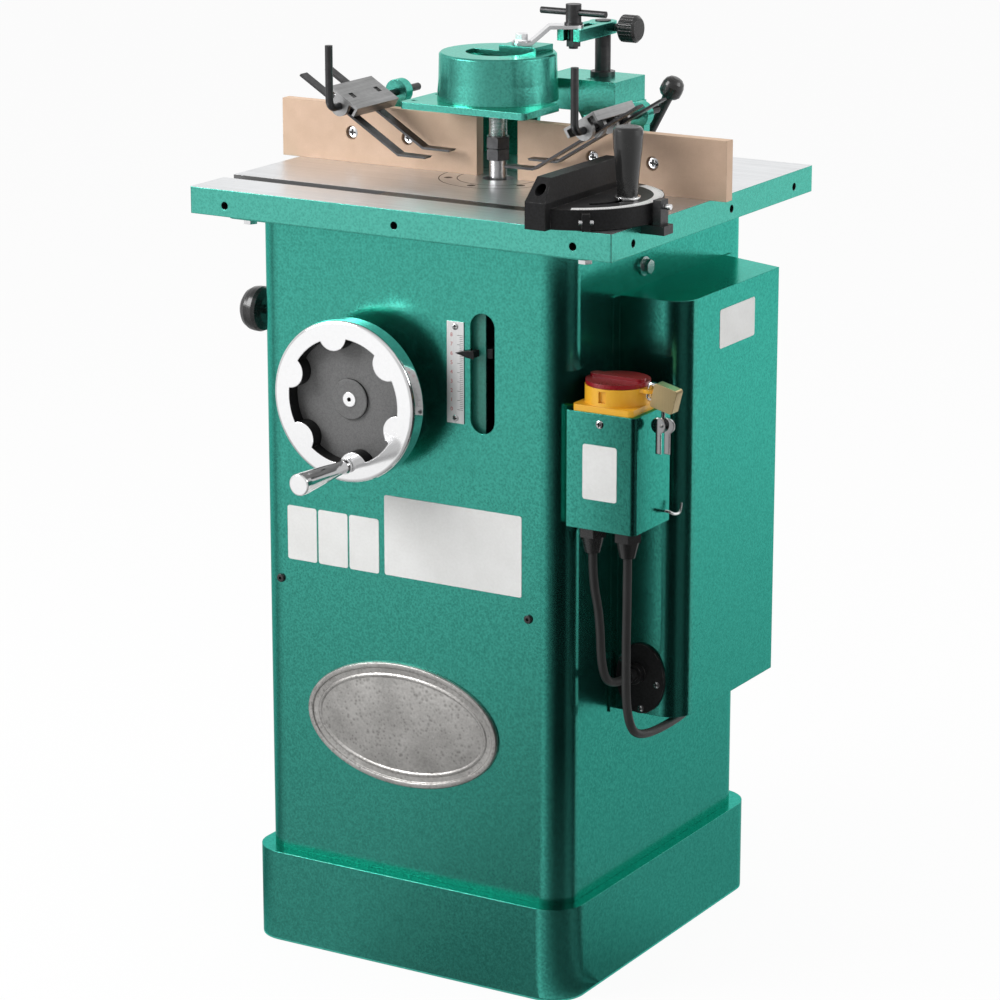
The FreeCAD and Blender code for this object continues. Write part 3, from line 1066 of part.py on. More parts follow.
def build_hold_down(tag, side):
    """Builds one hold-down: a cranked rod, a channel bracket and two spring fingers.

    side is -1 for the left one, whose fingers slope down to the right, and 1 for the right one.
    """
    x = float(side * S.rod_x)
    z = float(T.rod_z)
    bend = float(S.rod_bend)
    front = float(S.rod_front)
    top = z + float(S.rod_rise)
    corner = math.sqrt(0.5)
    path = Part.Wire([
        Part.LineSegment(VEC(x, float(S.rod_back), z), VEC(x, front + bend, z)).toShape(),
        Part.Arc(VEC(x, front + bend, z), VEC(x, front + bend - bend * corner, z + bend - bend * corner),
                 VEC(x, front, z + bend)).toShape(),
        Part.LineSegment(VEC(x, front, z + bend), VEC(x, front, top)).toShape()])
    section = Part.Wire([Part.Circle(VEC(x, float(S.rod_back), z), VEC(0, 1, 0),
                                     float(S.rod_radius)).toShape()])
    bar = doc.addObject("Part::Feature", tag + "_rod_sweep")
    bar.Shape = path.makePipeShell([section], True, False)
    keep(tag + "_hold_rod", bar)

    angle = FreeCAD.Rotation(VEC(0, 1, 0), -side * float(S.finger_slope))
    half = S.channel_wide / 2
    inner = S.rod_radius
    long = S.channel_back - S.channel_front
    thick = S.channel_thick
    local = [
        span(tag + "_roof", (-half, half), (S.channel_front, S.channel_back),
             (S.channel_clear, S.channel_clear + thick)),
        span(tag + "_skirt", (-half, -half + thick), (S.channel_front, S.channel_back),
             (S.channel_clear - 8, S.channel_clear + 1)),
        span(tag + "_skirt2", (half - thick, half), (S.channel_front, S.channel_back),
             (S.channel_clear - 8, S.channel_clear + 1)),
    ]
    pitch = (long - S.channel_cheek) / 3
    for i in range(4):
        y = S.channel_front + i * pitch
        local.append(rod("%s_collar%d" % (tag, i), (0, y, 0), 11.0, S.channel_cheek, "Y"))
        local.append(span("%s_cheek%d" % (tag, i), (-10.0, 10.0), (y, y + S.channel_cheek),
                          (0.0, S.channel_clear + 1)))
    clamps = []
    for i, y in enumerate((S.finger_one, S.finger_two)):
        clamps.append(span("%s_window%d" % (tag, i), (-4.0, 4.0), (y - 4, y + 4),
                           (S.channel_clear - 3, S.channel_clear + 9)))
    channel = fuse(tag + "_channel_all", *local)
    channel = cut(tag + "_channel_cut", channel, rod(tag + "_channel_bore", (0, S.channel_front - 5, 0),
                                                     inner,
                                                    long + 10, "Y"), *clamps)
    put(channel, (side * S.rod_x, 0, T.rod_z), angle)
    keep(tag + "_channel", channel)

    fingers = []
    low = -S.finger_drop - S.finger_thick / 2
    tip = S.finger_down
    bent = math.radians(float(S.finger_slope))
    for i, y in enumerate((S.finger_one, S.finger_two)):
        run = -side
        foot_x = tip + S.finger_foot * math.cos(bent)
        foot_z = S.finger_foot * math.sin(bent)
        points = [
            (run * -1 * S.finger_up, low), (run * tip, low), (run * foot_x, low + foot_z),
            (run * foot_x, low + foot_z + S.finger_thick), (run * (tip - 1), low + S.finger_thick),
            (run * -1 * S.finger_up, low + S.finger_thick)]
        blade = pad("%s_finger_pad%d" % (tag, i), "XZ_Plane", points, S.finger_wide,
                    (0, y + S.finger_wide / 2, 0))
        fingers.append(blade)
        saddle = span("%s_saddle%d" % (tag, i), (-5.0, 5.0), (y - 4, y + 4), (low + 1, -S.rod_radius - 0.2))
        fingers += [saddle]
    both = fuse(tag + "_fingers_all", *fingers)
    put(both, (side * S.rod_x, 0, T.rod_z), angle)
    keep(tag + "_fingers", both)


def build_guard():
    """Builds the guard: shield plate, hood, link, slotted arm, clamp knob and tee handle."""
    y = S.spindle_y
    plate = span("shield_plate", (-S.shield_half, S.shield_half), (S.shield_front, S.shield_back),
                 (T.shield_low, T.hood_low))
    plate = rounded("shield_round", plate, S.shield_corner, upright)
    bore = rod("shield_bore_rod", (0, y, T.shield_low - 5), S.shield_bore, 30.0)
    notch = rod("shield_notch", (-S.shield_half + 9, S.shield_back - 12, T.shield_low - 5), 3.2, 30.0)
    notch2 = rod("shield_notch2", (-S.shield_half + 9, S.shield_front + 16, T.shield_low - 5), 3.2, 30.0)
    keep("guard_plate", cut("guard_plate_cut", plate, bore, notch, notch2))

    tall = T.hood_high
    flare = S.hood_radius
    drum = turned("hood_drum", [
        (S.hood_radius - S.hood_wall, T.hood_low), (flare, T.hood_low),
        (S.hood_radius - 1.5, T.hood_low + 20),
        (S.hood_radius - 2.2, tall - 2), (S.hood_radius - 4.2, tall), (S.hood_eye, tall),
        (S.hood_eye, tall - S.hood_wall), (S.hood_radius - S.hood_wall - 4, tall - S.hood_wall)], (0, y, 0))
    bridge = span("hood_bridge", (S.link_x - 22, S.link_x + 24), (S.link_y - 11, S.link_y + 26),
                  (tall - S.hood_wall, tall + S.bridge_tall))
    flat = span("hood_flat", (-S.hood_eye, S.hood_eye), (S.link_y - 11, y + S.hood_eye + 6),
                (tall - S.hood_wall, tall))
    keep("guard_hood", fuse("guard_hood_all", drum, bridge, flat))

    run = VEC(float(S.tee_x - S.link_x), float(S.tee_y - S.link_y), 0)
    heading = FreeCAD.Rotation(VEC(0, 0, 1), math.degrees(math.atan2(run.y, run.x)))
    rise = ARM_TOP - LINK_LOW
    wide = S.link_wide / 2
    slope = 0.4 * S.link_thick
    strip = pad("link_strip", "XZ_Plane", [
        (0.0, 0.0), (S.link_flat, 0.0), (S.link_rise_end, rise), (run.Length, rise),
        (run.Length, rise + S.link_thick),
        (S.link_rise_end - slope, rise + S.link_thick), (S.link_flat - slope, S.link_thick),
        (0.0, S.link_thick)],
        S.link_wide, (0, wide, 0))
    ends = [rod("link_end%d" % i, (run.Length * i, 0, rise * i), wide, S.link_thick) for i in (0, 1)]
    bar = fuse("link_bar_all", strip, *ends)
    put(bar, (S.link_x, S.link_y, LINK_LOW), heading)
    clear = rod("link_hole", (S.tee_x, S.tee_y, ARM_TOP - 5), S.tee_bolt + S.run_gap, 30.0)
    link = cut("guard_link_cut", bar, clear)
    head = hexagon("hood_bolt_head", (S.link_x, S.link_y, LINK_LOW + S.link_thick + 1.5), 13.0, 7.0)
    washer = rod("hood_bolt_washer", (S.link_x, S.link_y, LINK_LOW + S.link_thick), 9.6, 1.5)
    keep("guard_link", fuse("guard_link_all", link, head, washer))

    low = ARM_LOW
    wide = S.arm_wide / 2
    bar = span("arm_bar", (S.tee_x - wide, S.tee_x + wide), (S.tee_y - 11, S.post_y),
               (low, low + S.arm_thick))
    end = rod("arm_end", (S.post_x, S.post_y, low), wide + 1, S.arm_thick)
    slot = span("arm_slot", (S.tee_x - S.arm_slot / 2, S.tee_x + S.arm_slot / 2),
                (S.tee_y - 20, S.post_y - 24),
                (low - 2, low + S.arm_thick + 2))
    hole = rod("arm_hole", (S.post_x, S.post_y, low - 5), S.post_radius + S.run_gap, S.arm_thick + 10)
    keep("guard_arm", cut("guard_arm_cut", fuse("arm_all", bar, end), slot, hole))

    top = ARM_TOP + S.link_thick
    high = ARM_LOW + S.sleeve_rise
    sleeve = rod("tee_sleeve", (S.tee_x, S.tee_y, top + 1.5), S.sleeve_radius, high - top - 1.5)
    collar = rod("tee_collar", (S.tee_x, S.tee_y, top + 0.1), S.sleeve_radius + 1.5, 2.0)
    bolt = rod("tee_bolt_rod", (S.tee_x, S.tee_y, low - 9), S.tee_bolt, top - low + 12)
    nut = hexagon("tee_nut", (S.tee_x, S.tee_y, low - 6.3), 15.0, 6.0)
    cross = rod("tee_cross", (S.tee_x - S.bar_long / 2, S.tee_y, ARM_LOW + S.bar_rise), S.bar_radius,
                S.bar_long, "X")
    keep("guard_t_handle", fuse("tee_all", sleeve, collar, bolt, nut, cross))

    start = S.post_x + wide + 1
    stem = rod("knob_stem_rod", (start + 0.3, S.post_y, low + S.arm_thick / 2), 4.5, S.knob_stem, "X")
    grip = turned("knob_grip", [
        (0.0, 0.0), (S.knob_radius - 4, 0.0), (S.knob_radius, 3.0), (S.knob_radius, S.knob_long - 3),
        (S.knob_radius - 3, S.knob_long), (0.0, S.knob_long)],
        (start + S.knob_stem, S.post_y, low + S.arm_thick / 2), "X")
    flutes = []
    for i in range(24):
        angle = math.radians(15.0 * i)
        flutes.append(rod("knob_flute%d" % i, (start + S.knob_stem - 1,
                                               S.post_y + (S.knob_radius + 1) * math.cos(angle),
                                               low + S.arm_thick / 2 + (S.knob_radius + 1) * math.sin(angle)),
                          1.7, S.knob_long + 2, "X"))
    keep("guard_knob", fuse("guard_knob_all", stem, cut("knob_grip_cut", grip, *flutes)))


def build_mitre():
    """Builds the mitre gauge: bar, swivelling head with its quadrant, clamp handle and stop."""
    bar_low = S.table_height - S.slot_deep + S.bar_clear
    wide = S.slot_width / 2 - S.bar_clear
    bar_end = S.table_width / 2 + S.bar_past
    bar = span("mitre_bar_box", (bar_end - S.mitre_bar_long, bar_end), (SLOT_Y - wide, SLOT_Y + wide),
               (bar_low, S.table_height - 0.2))
    pivot = rod("mitre_pivot", (MITRE_X, SLOT_Y, bar_low + 4), 5.0, S.slot_deep + S.quadrant_thick - 6)
    stud_x = MITRE_X + S.handle_reach
    stud = rod("mitre_stud", (stud_x, SLOT_Y, bar_low + 4), 4.0, T.handle_low + 20 - bar_low - 4)
    left = MITRE_X - 8
    tall = T.head_low
    mid = tall + S.head_mid
    end = tall + S.head_end
    side = S.head_half
    points = [
        (SLOT_Y - side, tall), (SLOT_Y + side, tall), (SLOT_Y + side, end),
        (SLOT_Y + side - S.head_chamfer, mid), (SLOT_Y - side + S.head_chamfer, mid), (SLOT_Y - side, end)]
    block = pad("mitre_face", "YZ_Plane", points, S.head_thick, (left, 0, 0))
    slant = pad("mitre_slant", "XZ_Plane", [
        (left + S.head_thick, end), (left + S.head_top, mid + 1), (left + S.head_thick + 9, mid + 1),
        (left + S.head_thick + 9, end)], 2 * side + 20, (0, SLOT_Y + side + 10, 0))
    face = cut("mitre_face_cut", block, slant)
    disc = rod("quadrant_disc", (MITRE_X, SLOT_Y, tall), S.quadrant_radius, S.quadrant_thick)
    keepin = span("quadrant_half", (MITRE_X + 2, MITRE_X + 120), (SLOT_Y - 100, SLOT_Y + 100),
                  (tall - 1, tall + 40))
    quadrant = common("quadrant", disc, keepin)
    ears = []
    for i, turn in enumerate((-56.0, 56.0)):
        angle = math.radians(turn)
        ear = box("stop_ear%d" % i, (0, 0, 0), (12.0, 8.0, S.quadrant_thick - 3))
        reach = S.quadrant_radius - 5
        ears.append(put(ear, (MITRE_X + reach * math.cos(angle) + 4 * math.sin(angle),
                              SLOT_Y + reach * math.sin(angle) - 4 * math.cos(angle), tall),
                        FreeCAD.Rotation(VEC(0, 0, 1), turn)))
        pin = rod("stop_pin%d" % i, (0, 0, 0), 2.6, 15.0)
        reach = S.quadrant_radius + 3.6
        way = VEC(-math.sin(angle), math.cos(angle), 0)
        at = (MITRE_X + reach * math.cos(angle) - 7.5 * way.x,
              SLOT_Y + reach * math.sin(angle) - 7.5 * way.y, tall + 9)
        ears.append(put(pin, at, FreeCAD.Rotation(VEC(0, 0, 1), way)))
    arc_out = rod("arc_out", (MITRE_X, SLOT_Y, tall - 5), S.handle_reach + 4.6, S.quadrant_thick + 12)
    arc_in = rod("arc_in", (MITRE_X, SLOT_Y, tall - 6), S.handle_reach - 4.6, S.quadrant_thick + 14)
    wedge = pad("arc_wedge", "XY_Plane", [(0.0, 0.0), (100.0, -119.0), (120.0, 0.0), (100.0, 119.0)], 44.0,
                (MITRE_X, SLOT_Y, tall - 7))
    arc = common("arc_slot", cut("arc_ring", arc_out, arc_in), wedge)
    hole = rod("pivot_hole", (MITRE_X, SLOT_Y, tall - 5), 5.0 + S.run_gap, S.quadrant_thick + 4)
    eye = rod("head_eye", (left + 11, SLOT_Y - side - 2, end + 11), 5.6, 44.0, "Y")
    keep("mitre_head", cut("mitre_head_cut", fuse("mitre_head_all", face, quadrant, *ears), arc, hole, eye))

    low = T.handle_low
    grip = turned("mitre_handle_body", [
        (4.0 + S.run_gap, low + 2), (S.handle_foot, low + 2), (S.handle_foot + 0.4, low + 12),
        (S.handle_foot + 2.4, low + 34), (S.handle_head - 0.8, T.handle_high - 22),
        (S.handle_head, T.handle_high - 8),
        (S.handle_head - 0.5, T.handle_high - 3), (S.handle_head - 2.4, T.handle_high - 0.6),
        (S.handle_head - 4.5, T.handle_high), (0.0, T.handle_high), (0.0, low + 24),
        (4.0 + S.run_gap, low + 24)],
        (stud_x, SLOT_Y, 0))
    washer_low = tall + S.quadrant_thick + 0.3
    washer = ring("mitre_washer", (stud_x, SLOT_Y, washer_low), S.handle_foot + 3, 4.0 + S.run_gap,
                  low + 2 - washer_low)
    keep("mitre_handle", fuse("mitre_handle_all", grip, washer))

    base = S.table_height - 0.2
    stop_x = S.table_width / 2 + S.stop_past
    post = span("stop_post", (stop_x, stop_x + 9), (SLOT_Y - 8, SLOT_Y + 8), (base, base + S.stop_tall))
    screw = rod("stop_screw", (stop_x - 1.5, SLOT_Y, base + S.stop_tall - 7), 3.0, 18.0, "X")
    keep("mitre_bar", fuse("mitre_bar_all", bar, pivot, stud, post, screw))


build_stand()
build_table()
build_motor_cover()
build_switch()
build_lift()
build_drive()
build_handwheel()
build_fence()
build_hold_down("left", -1)
build_hold_down("right", 1)
build_guard()
build_mitre()
doc.recompute()

bad = []
for obj in doc.Objects:
    if any(word in obj.State for word in ("Invalid", "Error")):
        bad.append("%s %s" % (obj.Name, obj.State))
for label, obj in PARTS.items():
    shape = obj.Shape
    if shape.isNull() or not shape.isValid() or not shape.Solids:
        bad.append("shape %s" % label)
    elif shape.Volume <= 0:
        bad.append("volume %s" % label)
if bad:
    raise RuntimeError("; ".join(bad))

os.makedirs("parts", exist_ok=True)
for label, obj in PARTS.items():
    obj.Shape.exportStep(os.path.join("parts", label + ".step"))
    print("%-18s solids %d volume %.0f" % (label, len(obj.Shape.Solids), obj.Shape.Volume))
print("pieces %d" % len(PARTS))
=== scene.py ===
"""Spindle moulder: finishes, leads, blank plates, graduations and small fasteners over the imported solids.

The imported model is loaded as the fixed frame. Each sub-assembly is a class that dresses its own solids and
adds its own small pieces. Sizes are in millimetres in those classes and turned into metres where a mesh is
made. The studio's own sizes are in metres.
"""
import logging
import math
from dataclasses import dataclass
from enum import Enum
from typing import Callable, Iterable, Sequence

import bpy
from mathutils import Matrix, Vector

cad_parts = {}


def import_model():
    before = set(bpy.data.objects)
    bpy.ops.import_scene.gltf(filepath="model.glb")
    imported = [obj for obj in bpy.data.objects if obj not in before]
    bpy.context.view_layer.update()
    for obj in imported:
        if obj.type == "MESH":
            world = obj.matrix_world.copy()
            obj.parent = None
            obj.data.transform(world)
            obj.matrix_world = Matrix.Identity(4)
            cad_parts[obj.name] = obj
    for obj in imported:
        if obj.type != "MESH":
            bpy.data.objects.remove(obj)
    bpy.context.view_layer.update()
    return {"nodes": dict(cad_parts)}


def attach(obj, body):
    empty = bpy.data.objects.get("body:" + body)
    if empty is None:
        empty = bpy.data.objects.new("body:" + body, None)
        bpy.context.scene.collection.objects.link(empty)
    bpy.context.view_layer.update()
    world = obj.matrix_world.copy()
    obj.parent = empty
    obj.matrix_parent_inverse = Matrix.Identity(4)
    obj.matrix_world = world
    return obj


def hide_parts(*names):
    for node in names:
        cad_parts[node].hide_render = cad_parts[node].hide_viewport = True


MM = 0.001
LOG = logging.getLogger("spindle_moulder")

Colour = tuple[float, float, float]
Pair = tuple[float, float]
Point = tuple[float, float, float]
Points = list[Sequence[float]]
Faces = list[tuple[int, ...]]
Rings = Sequence[Sequence[Sequence[float]]]
Socket = bpy.types.NodeSocket
Sockets = bpy.types.bpy_prop_collection
FaceTest = Callable[[Vector, Vector], bool]
Patches = Iterable[tuple[str, "Finish", FaceTest]]


def grey(tone: float) -> Colour:
    """Gives an even grey."""
    return (tone, tone, tone)


WOOD_DUST: Colour = (0.56, 0.47, 0.36)
BOARD_DUST: Colour = (0.62, 0.5, 0.36)
BOARD_EDGE: Colour = (0.2, 0.13, 0.08)
RUBBED_PEWTER: Colour = (0.75, 0.73, 0.7)
COAT_ROUGH = 0.12


class SocketKind(Enum):
    """The kinds of socket that the shared groups use."""

    VALUE = "NodeSocketFloat"
    VECTOR = "NodeSocketVector"


class Face(Enum):
    """The faces of the machine that small pieces sit on, each with its across, up and outward directions."""

    FRONT = ((1, 0, 0), (0, 0, 1), (0, -1, 0))
    RIGHT = ((0, 1, 0), (0, 0, 1), (1, 0, 0))
    TOP = ((1, 0, 0), (0, 1, 0), (0, 0, 1))

    def at(self, place: Point) -> Matrix:
        """Gives the matrix from across, up and outward millimetres at a place to metres in the frame."""
        ways = [(*(Vector(way) * MM), 0.0) for way in self.value]
        return Matrix((*ways, (*(Vector(place) * MM), 1.0))).transposed()


class Marks(Enum):
    """The ways a machined surface was worked, as the stretch of its marks along each axis."""

    ALONG_X = (0.02, 1.0, 1.0)
    ALONG_Y = (1.0, 0.02, 1.0)
    ALONG_Z = (1.0, 1.0, 0.02)
    EVEN = (1.0, 1.0, 1.0)


class NodeDesk:
    """Adds nodes to one tree, sets their sockets and links them."""

    def __init__(self, tree: bpy.types.NodeTree) -> None:
        """Takes the tree that the nodes go in."""
        self.tree = tree

    def fill(self, sockets: Sockets, values: dict[str | int, object]) -> None:
        """Links or sets input sockets.

        Args:
            sockets: The inputs of a node.
            values: Output sockets or plain values, by input name or number.
        """
        for key, value in values.items():
            if isinstance(value, Socket):
                self.tree.links.new(value, sockets[key])
            else:
                sockets[key].default_value = value

    def add(self, kind: str, inputs: dict[str | int, object] | None = None,
            **settings: object) -> bpy.types.Node:
        """Adds one node.

        Args:
            kind: The node's type name.
            inputs: Values or sockets by input name or number.
            settings: The node's own settings.

        Returns:
            The node.
        """
        node = self.tree.nodes.new(kind)
        for name, setting in settings.items():
            setattr(node, name, setting)
        self.fill(node.inputs, inputs or {})
        return node

    def math(self, operation: str, first: object, second: object) -> Socket:
        """Works out one sum and gives its result."""
        return self.add("ShaderNodeMath", {0: first, 1: second}, operation=operation).outputs[0]

    def spread(self, value: object, low: object, high: object, start: object = 0.0,
               end: object = 1.0) -> Socket:
        """Maps the values from low to high onto start to end, held at both ends."""
        inputs = {0: value, 1: low, 2: high, 3: start, 4: end}
        return self.add("ShaderNodeMapRange", inputs, clamp=True).outputs[0]

    def blend(self, share: object, first: object, second: object) -> Socket:
        """Blends two colours by the share of the second."""
        first, second = (value if isinstance(value, Socket) else (*value, 1.0)
                         for value in (first, second))
        return self.add("ShaderNodeMix", {0: share, 6: first, 7: second}, data_type="RGBA").outputs[2]

    def place(self, stretch: object = (1.0, 1.0, 1.0)) -> Socket:
        """Gives the piece's own coordinates, stretched."""
        spot = self.add("ShaderNodeTexCoord").outputs["Object"]
        return self.add("ShaderNodeMapping", {"Vector": spot, "Scale": stretch}).outputs[0]

    def noise(self, scale: object, detail: float = 3.0, rough: float = 0.55,
              stretch: object = (1.0, 1.0, 1.0)) -> Socket:
        """Gives noise of a scale per metre on the piece's own coordinates."""
        inputs = {"Vector": self.place(stretch), "Scale": scale, "Detail": detail, "Roughness": rough}
        return self.add("ShaderNodeTexNoise", inputs).outputs[0]

    def bump(self, strength: float, depth: float, height: Socket,
             normal: Socket) -> Socket:
        """Bends a normal by a relief of a height from 0 to 1 and a depth in metres."""
        inputs = {"Strength": strength, "Distance": depth, "Height": height, "Normal": normal}
        return self.add("ShaderNodeBump", inputs).outputs[0]

    def group(self, name: str, **inputs: object) -> Sockets:
        """Places a shared group, and makes it the first time.

        Args:
            name: The group's name.
            inputs: Values or sockets for the group's inputs.

        Returns:
            The outputs of the group's node.
        """
        if name not in bpy.data.node_groups:
            getattr(GroupShelf, name)()
        node = self.add("ShaderNodeGroup", node_tree=bpy.data.node_groups[name])
        self.fill(node.inputs, inputs)
        return node.outputs


class GroupShelf:
    """Makes each shared node group once."""

    @staticmethod
    def start(name: str, inputs: dict[str, object],
              outputs: dict[str, SocketKind]) -> tuple[NodeDesk, Sockets, Sockets]:
        """Starts a group with its named sockets.

        Args:
            name: The group's name.
            inputs: Each input's name and usual value, a vector where that is a tuple.
            outputs: Each output's name and kind.

        Returns:
            The group's desk, the sockets that it is given and the sockets that it fills.
        """
        tree = bpy.data.node_groups.new(name, "ShaderNodeTree")
        for label, usual in inputs.items():
            kind = SocketKind.VECTOR if isinstance(usual, tuple) else SocketKind.VALUE
            tree.interface.new_socket(label, in_out="INPUT", socket_type=kind.value).default_value = usual
        for label, kind in outputs.items():
            tree.interface.new_socket(label, in_out="OUTPUT", socket_type=kind.value)
        desk = NodeDesk(tree)
        return desk, desk.add("NodeGroupInput").outputs, desk.add("NodeGroupOutput").inputs

    @classmethod
    def soft_edge(cls) -> None:
        """Makes the group that rounds sharp edges in the shading and finds them."""
        desk, given, made = cls.start("soft_edge", {"Radius": 0.0008},
                                      {"Normal": SocketKind.VECTOR, "Edge": SocketKind.VALUE})
        rounded = desk.add("ShaderNodeBevel", {"Radius": given["Radius"]}, samples=4).outputs[0]
        flat = desk.add("ShaderNodeNewGeometry").outputs["Normal"]
        same = desk.add("ShaderNodeVectorMath", {0: rounded, 1: flat}, operation="DOT_PRODUCT")
        edge = desk.spread(same.outputs["Value"], 0.998, 0.86)
        desk.fill(made, {"Normal": rounded, "Edge": edge})

    @classmethod
    def edge_wear(cls) -> None:
        """Makes the group that breaks an edge mask into chips and rubs."""
        desk, given, made = cls.start("edge_wear", {"Edge": 0.0, "Scale": 60.0, "Amount": 0.3},
                                      {"Mask": SocketKind.VALUE})
        broken = desk.noise(given["Scale"], detail=5.0, rough=0.62)
        rubbed = desk.math("MULTIPLY", given["Edge"], desk.spread(broken, 0.46, 0.66))
        desk.fill(made, {"Mask": desk.math("MULTIPLY", rubbed, given["Amount"])})

    @classmethod
    def grain(cls) -> None:
        """Makes the group that varies a value slowly and finely over a surface."""
        desk, given, made = cls.start("grain", {"Scale": 40.0, "Low": 0.3, "High": 0.45},
                                      {"Value": SocketKind.VALUE})
        slow = desk.noise(given["Scale"], detail=2.0, rough=0.5)
        fine = desk.noise(desk.math("MULTIPLY", given["Scale"], 14.0), detail=3.0, rough=0.6)
        both = desk.math("ADD", desk.math("MULTIPLY", slow, 0.6), desk.math("MULTIPLY", fine, 0.4))
        desk.fill(made, {"Value": desk.spread(both, 0.3, 0.7, given["Low"], given["High"])})

    @classmethod
    def dust(cls) -> None:
        """Makes the group that lets fine wood dust settle on upward faces."""
        desk, given, made = cls.start("dust", {"Amount": 0.2, "Scale": 30.0}, {"Mask": SocketKind.VALUE})
        normal = desk.add("ShaderNodeNewGeometry").outputs["Normal"]
        upward = desk.spread(desk.add("ShaderNodeSeparateXYZ", {0: normal}).outputs["Z"], 0.55, 0.98)
        drift = desk.spread(desk.noise(given["Scale"], detail=6.0, rough=0.68), 0.42, 0.72)
        lying = desk.math("MULTIPLY", upward, drift)
        desk.fill(made, {"Mask": desk.math("MULTIPLY", lying, given["Amount"])})

    @classmethod
    def hammer(cls) -> None:
        """Makes the group for hammered paint: shallow cells with raised seams."""
        desk, given, made = cls.start("hammer", {"Scale": 380.0},
                                      {"Height": SocketKind.VALUE, "Hollow": SocketKind.VALUE})
        inputs = {"Vector": desk.place(), "Scale": given["Scale"], "Smoothness": 0.7, "Randomness": 1.0}
        cells = desk.add("ShaderNodeTexVoronoi", inputs, feature="SMOOTH_F1").outputs["Distance"]
        ripple = desk.noise(desk.math("MULTIPLY", given["Scale"], 0.45), detail=3.0, rough=0.6)
        height = desk.math("ADD", desk.math("MULTIPLY", cells, 0.65), desk.math("MULTIPLY", ripple, 0.55))
        desk.fill(made, {"Height": height, "Hollow": desk.spread(height, 0.72, 0.3)})

    @classmethod
    def tool_marks(cls) -> None:
        """Makes the group for ground, brushed and turned marks."""
        desk, given, made = cls.start("tool_marks", {"Stretch": Marks.EVEN.value, "Scale": 1400.0},
                                      {"Height": SocketKind.VALUE, "Streak": SocketKind.VALUE})
        fine = desk.noise(given["Scale"], detail=2.0, rough=0.6, stretch=given["Stretch"])
        coarse = desk.math("MULTIPLY", given["Scale"], 0.12)
        wide = desk.noise(coarse, detail=3.0, rough=0.6, stretch=given["Stretch"])
        both = desk.math("ADD", desk.math("MULTIPLY", fine, 0.5), desk.math("MULTIPLY", wide, 0.5))
        desk.fill(made, {"Height": fine, "Streak": desk.spread(both, 0.32, 0.68)})


@dataclass(frozen=True)
class Finish:
    """A finish: its name, the material slot it stands for, and its main colour."""

    name: str
    slot: str
    colour: Colour

    def material(self) -> bpy.types.Material:
        """Gives the finish's material, built once.

        Returns:
            The material.
        """
        found = bpy.data.materials.get("finish_" + self.name)
        if found is not None:
            return found
        made = bpy.data.materials.new("finish_" + self.name)
        made.use_nodes = True
        self.lay(NodeDesk(made.node_tree), made.node_tree.nodes["Principled BSDF"].inputs)
        made.diffuse_color = (*self.colour, 1.0)
        return made

    def lay(self, desk: NodeDesk, skin: Sockets) -> None:
        """Lays the finish's nodes on its desk, up to the inputs of its shader."""
        raise NotImplementedError


@dataclass(frozen=True)
class Enamel(Finish):
    """Baked paint on sheet or castings, hammered or nearly smooth, rubbed at its edges."""

    hollow: Colour = (0.02, 0.2, 0.15)
    metallic: float = 0.0
    rough: Pair = (0.3, 0.42)
    cells: float = 380.0
    depth: float = 0.0002
    coat: float = 0.2
    shine: float = 0.5
    tint: Colour = (1.0, 1.0, 1.0)
    bare: Colour = (0.32, 0.32, 0.31)
    wear: float = 0.35
    dust: float = 0.0
    edge: float = 0.0012

    def lay(self, desk: NodeDesk, skin: Sockets) -> None:
        """Lays paint over hammered cells, then rubs its edges and settles any dust on it.

        Args:
            desk: The material's desk.
            skin: The inputs of its Principled shader.
        """
        edge = desk.group("soft_edge", Radius=self.edge)
        cells = desk.group("hammer", Scale=self.cells)
        rough = desk.group("grain", Scale=18.0, Low=self.rough[0], High=self.rough[1])["Value"]
        rub = desk.group("edge_wear", Edge=edge["Edge"], Scale=90.0, Amount=self.wear)
        paint = desk.blend(cells["Hollow"], self.colour, self.hollow)
        paint = desk.blend(rub["Mask"], paint, self.bare)
        if self.dust > 0:
            lying = desk.group("dust", Amount=self.dust, Scale=26.0)["Mask"]
            paint = desk.blend(lying, paint, WOOD_DUST)
            rough = desk.math("ADD", rough, desk.math("MULTIPLY", lying, 0.5))
        desk.fill(skin, {
            "Base Color": paint, "Roughness": rough, "Metallic": self.metallic, "Coat Weight": self.coat,
            "Coat Roughness": COAT_ROUGH, "Specular IOR Level": self.shine,
            "Specular Tint": (*self.tint, 1.0),
            "Normal": desk.bump(0.5, self.depth, cells["Height"], edge["Normal"])})


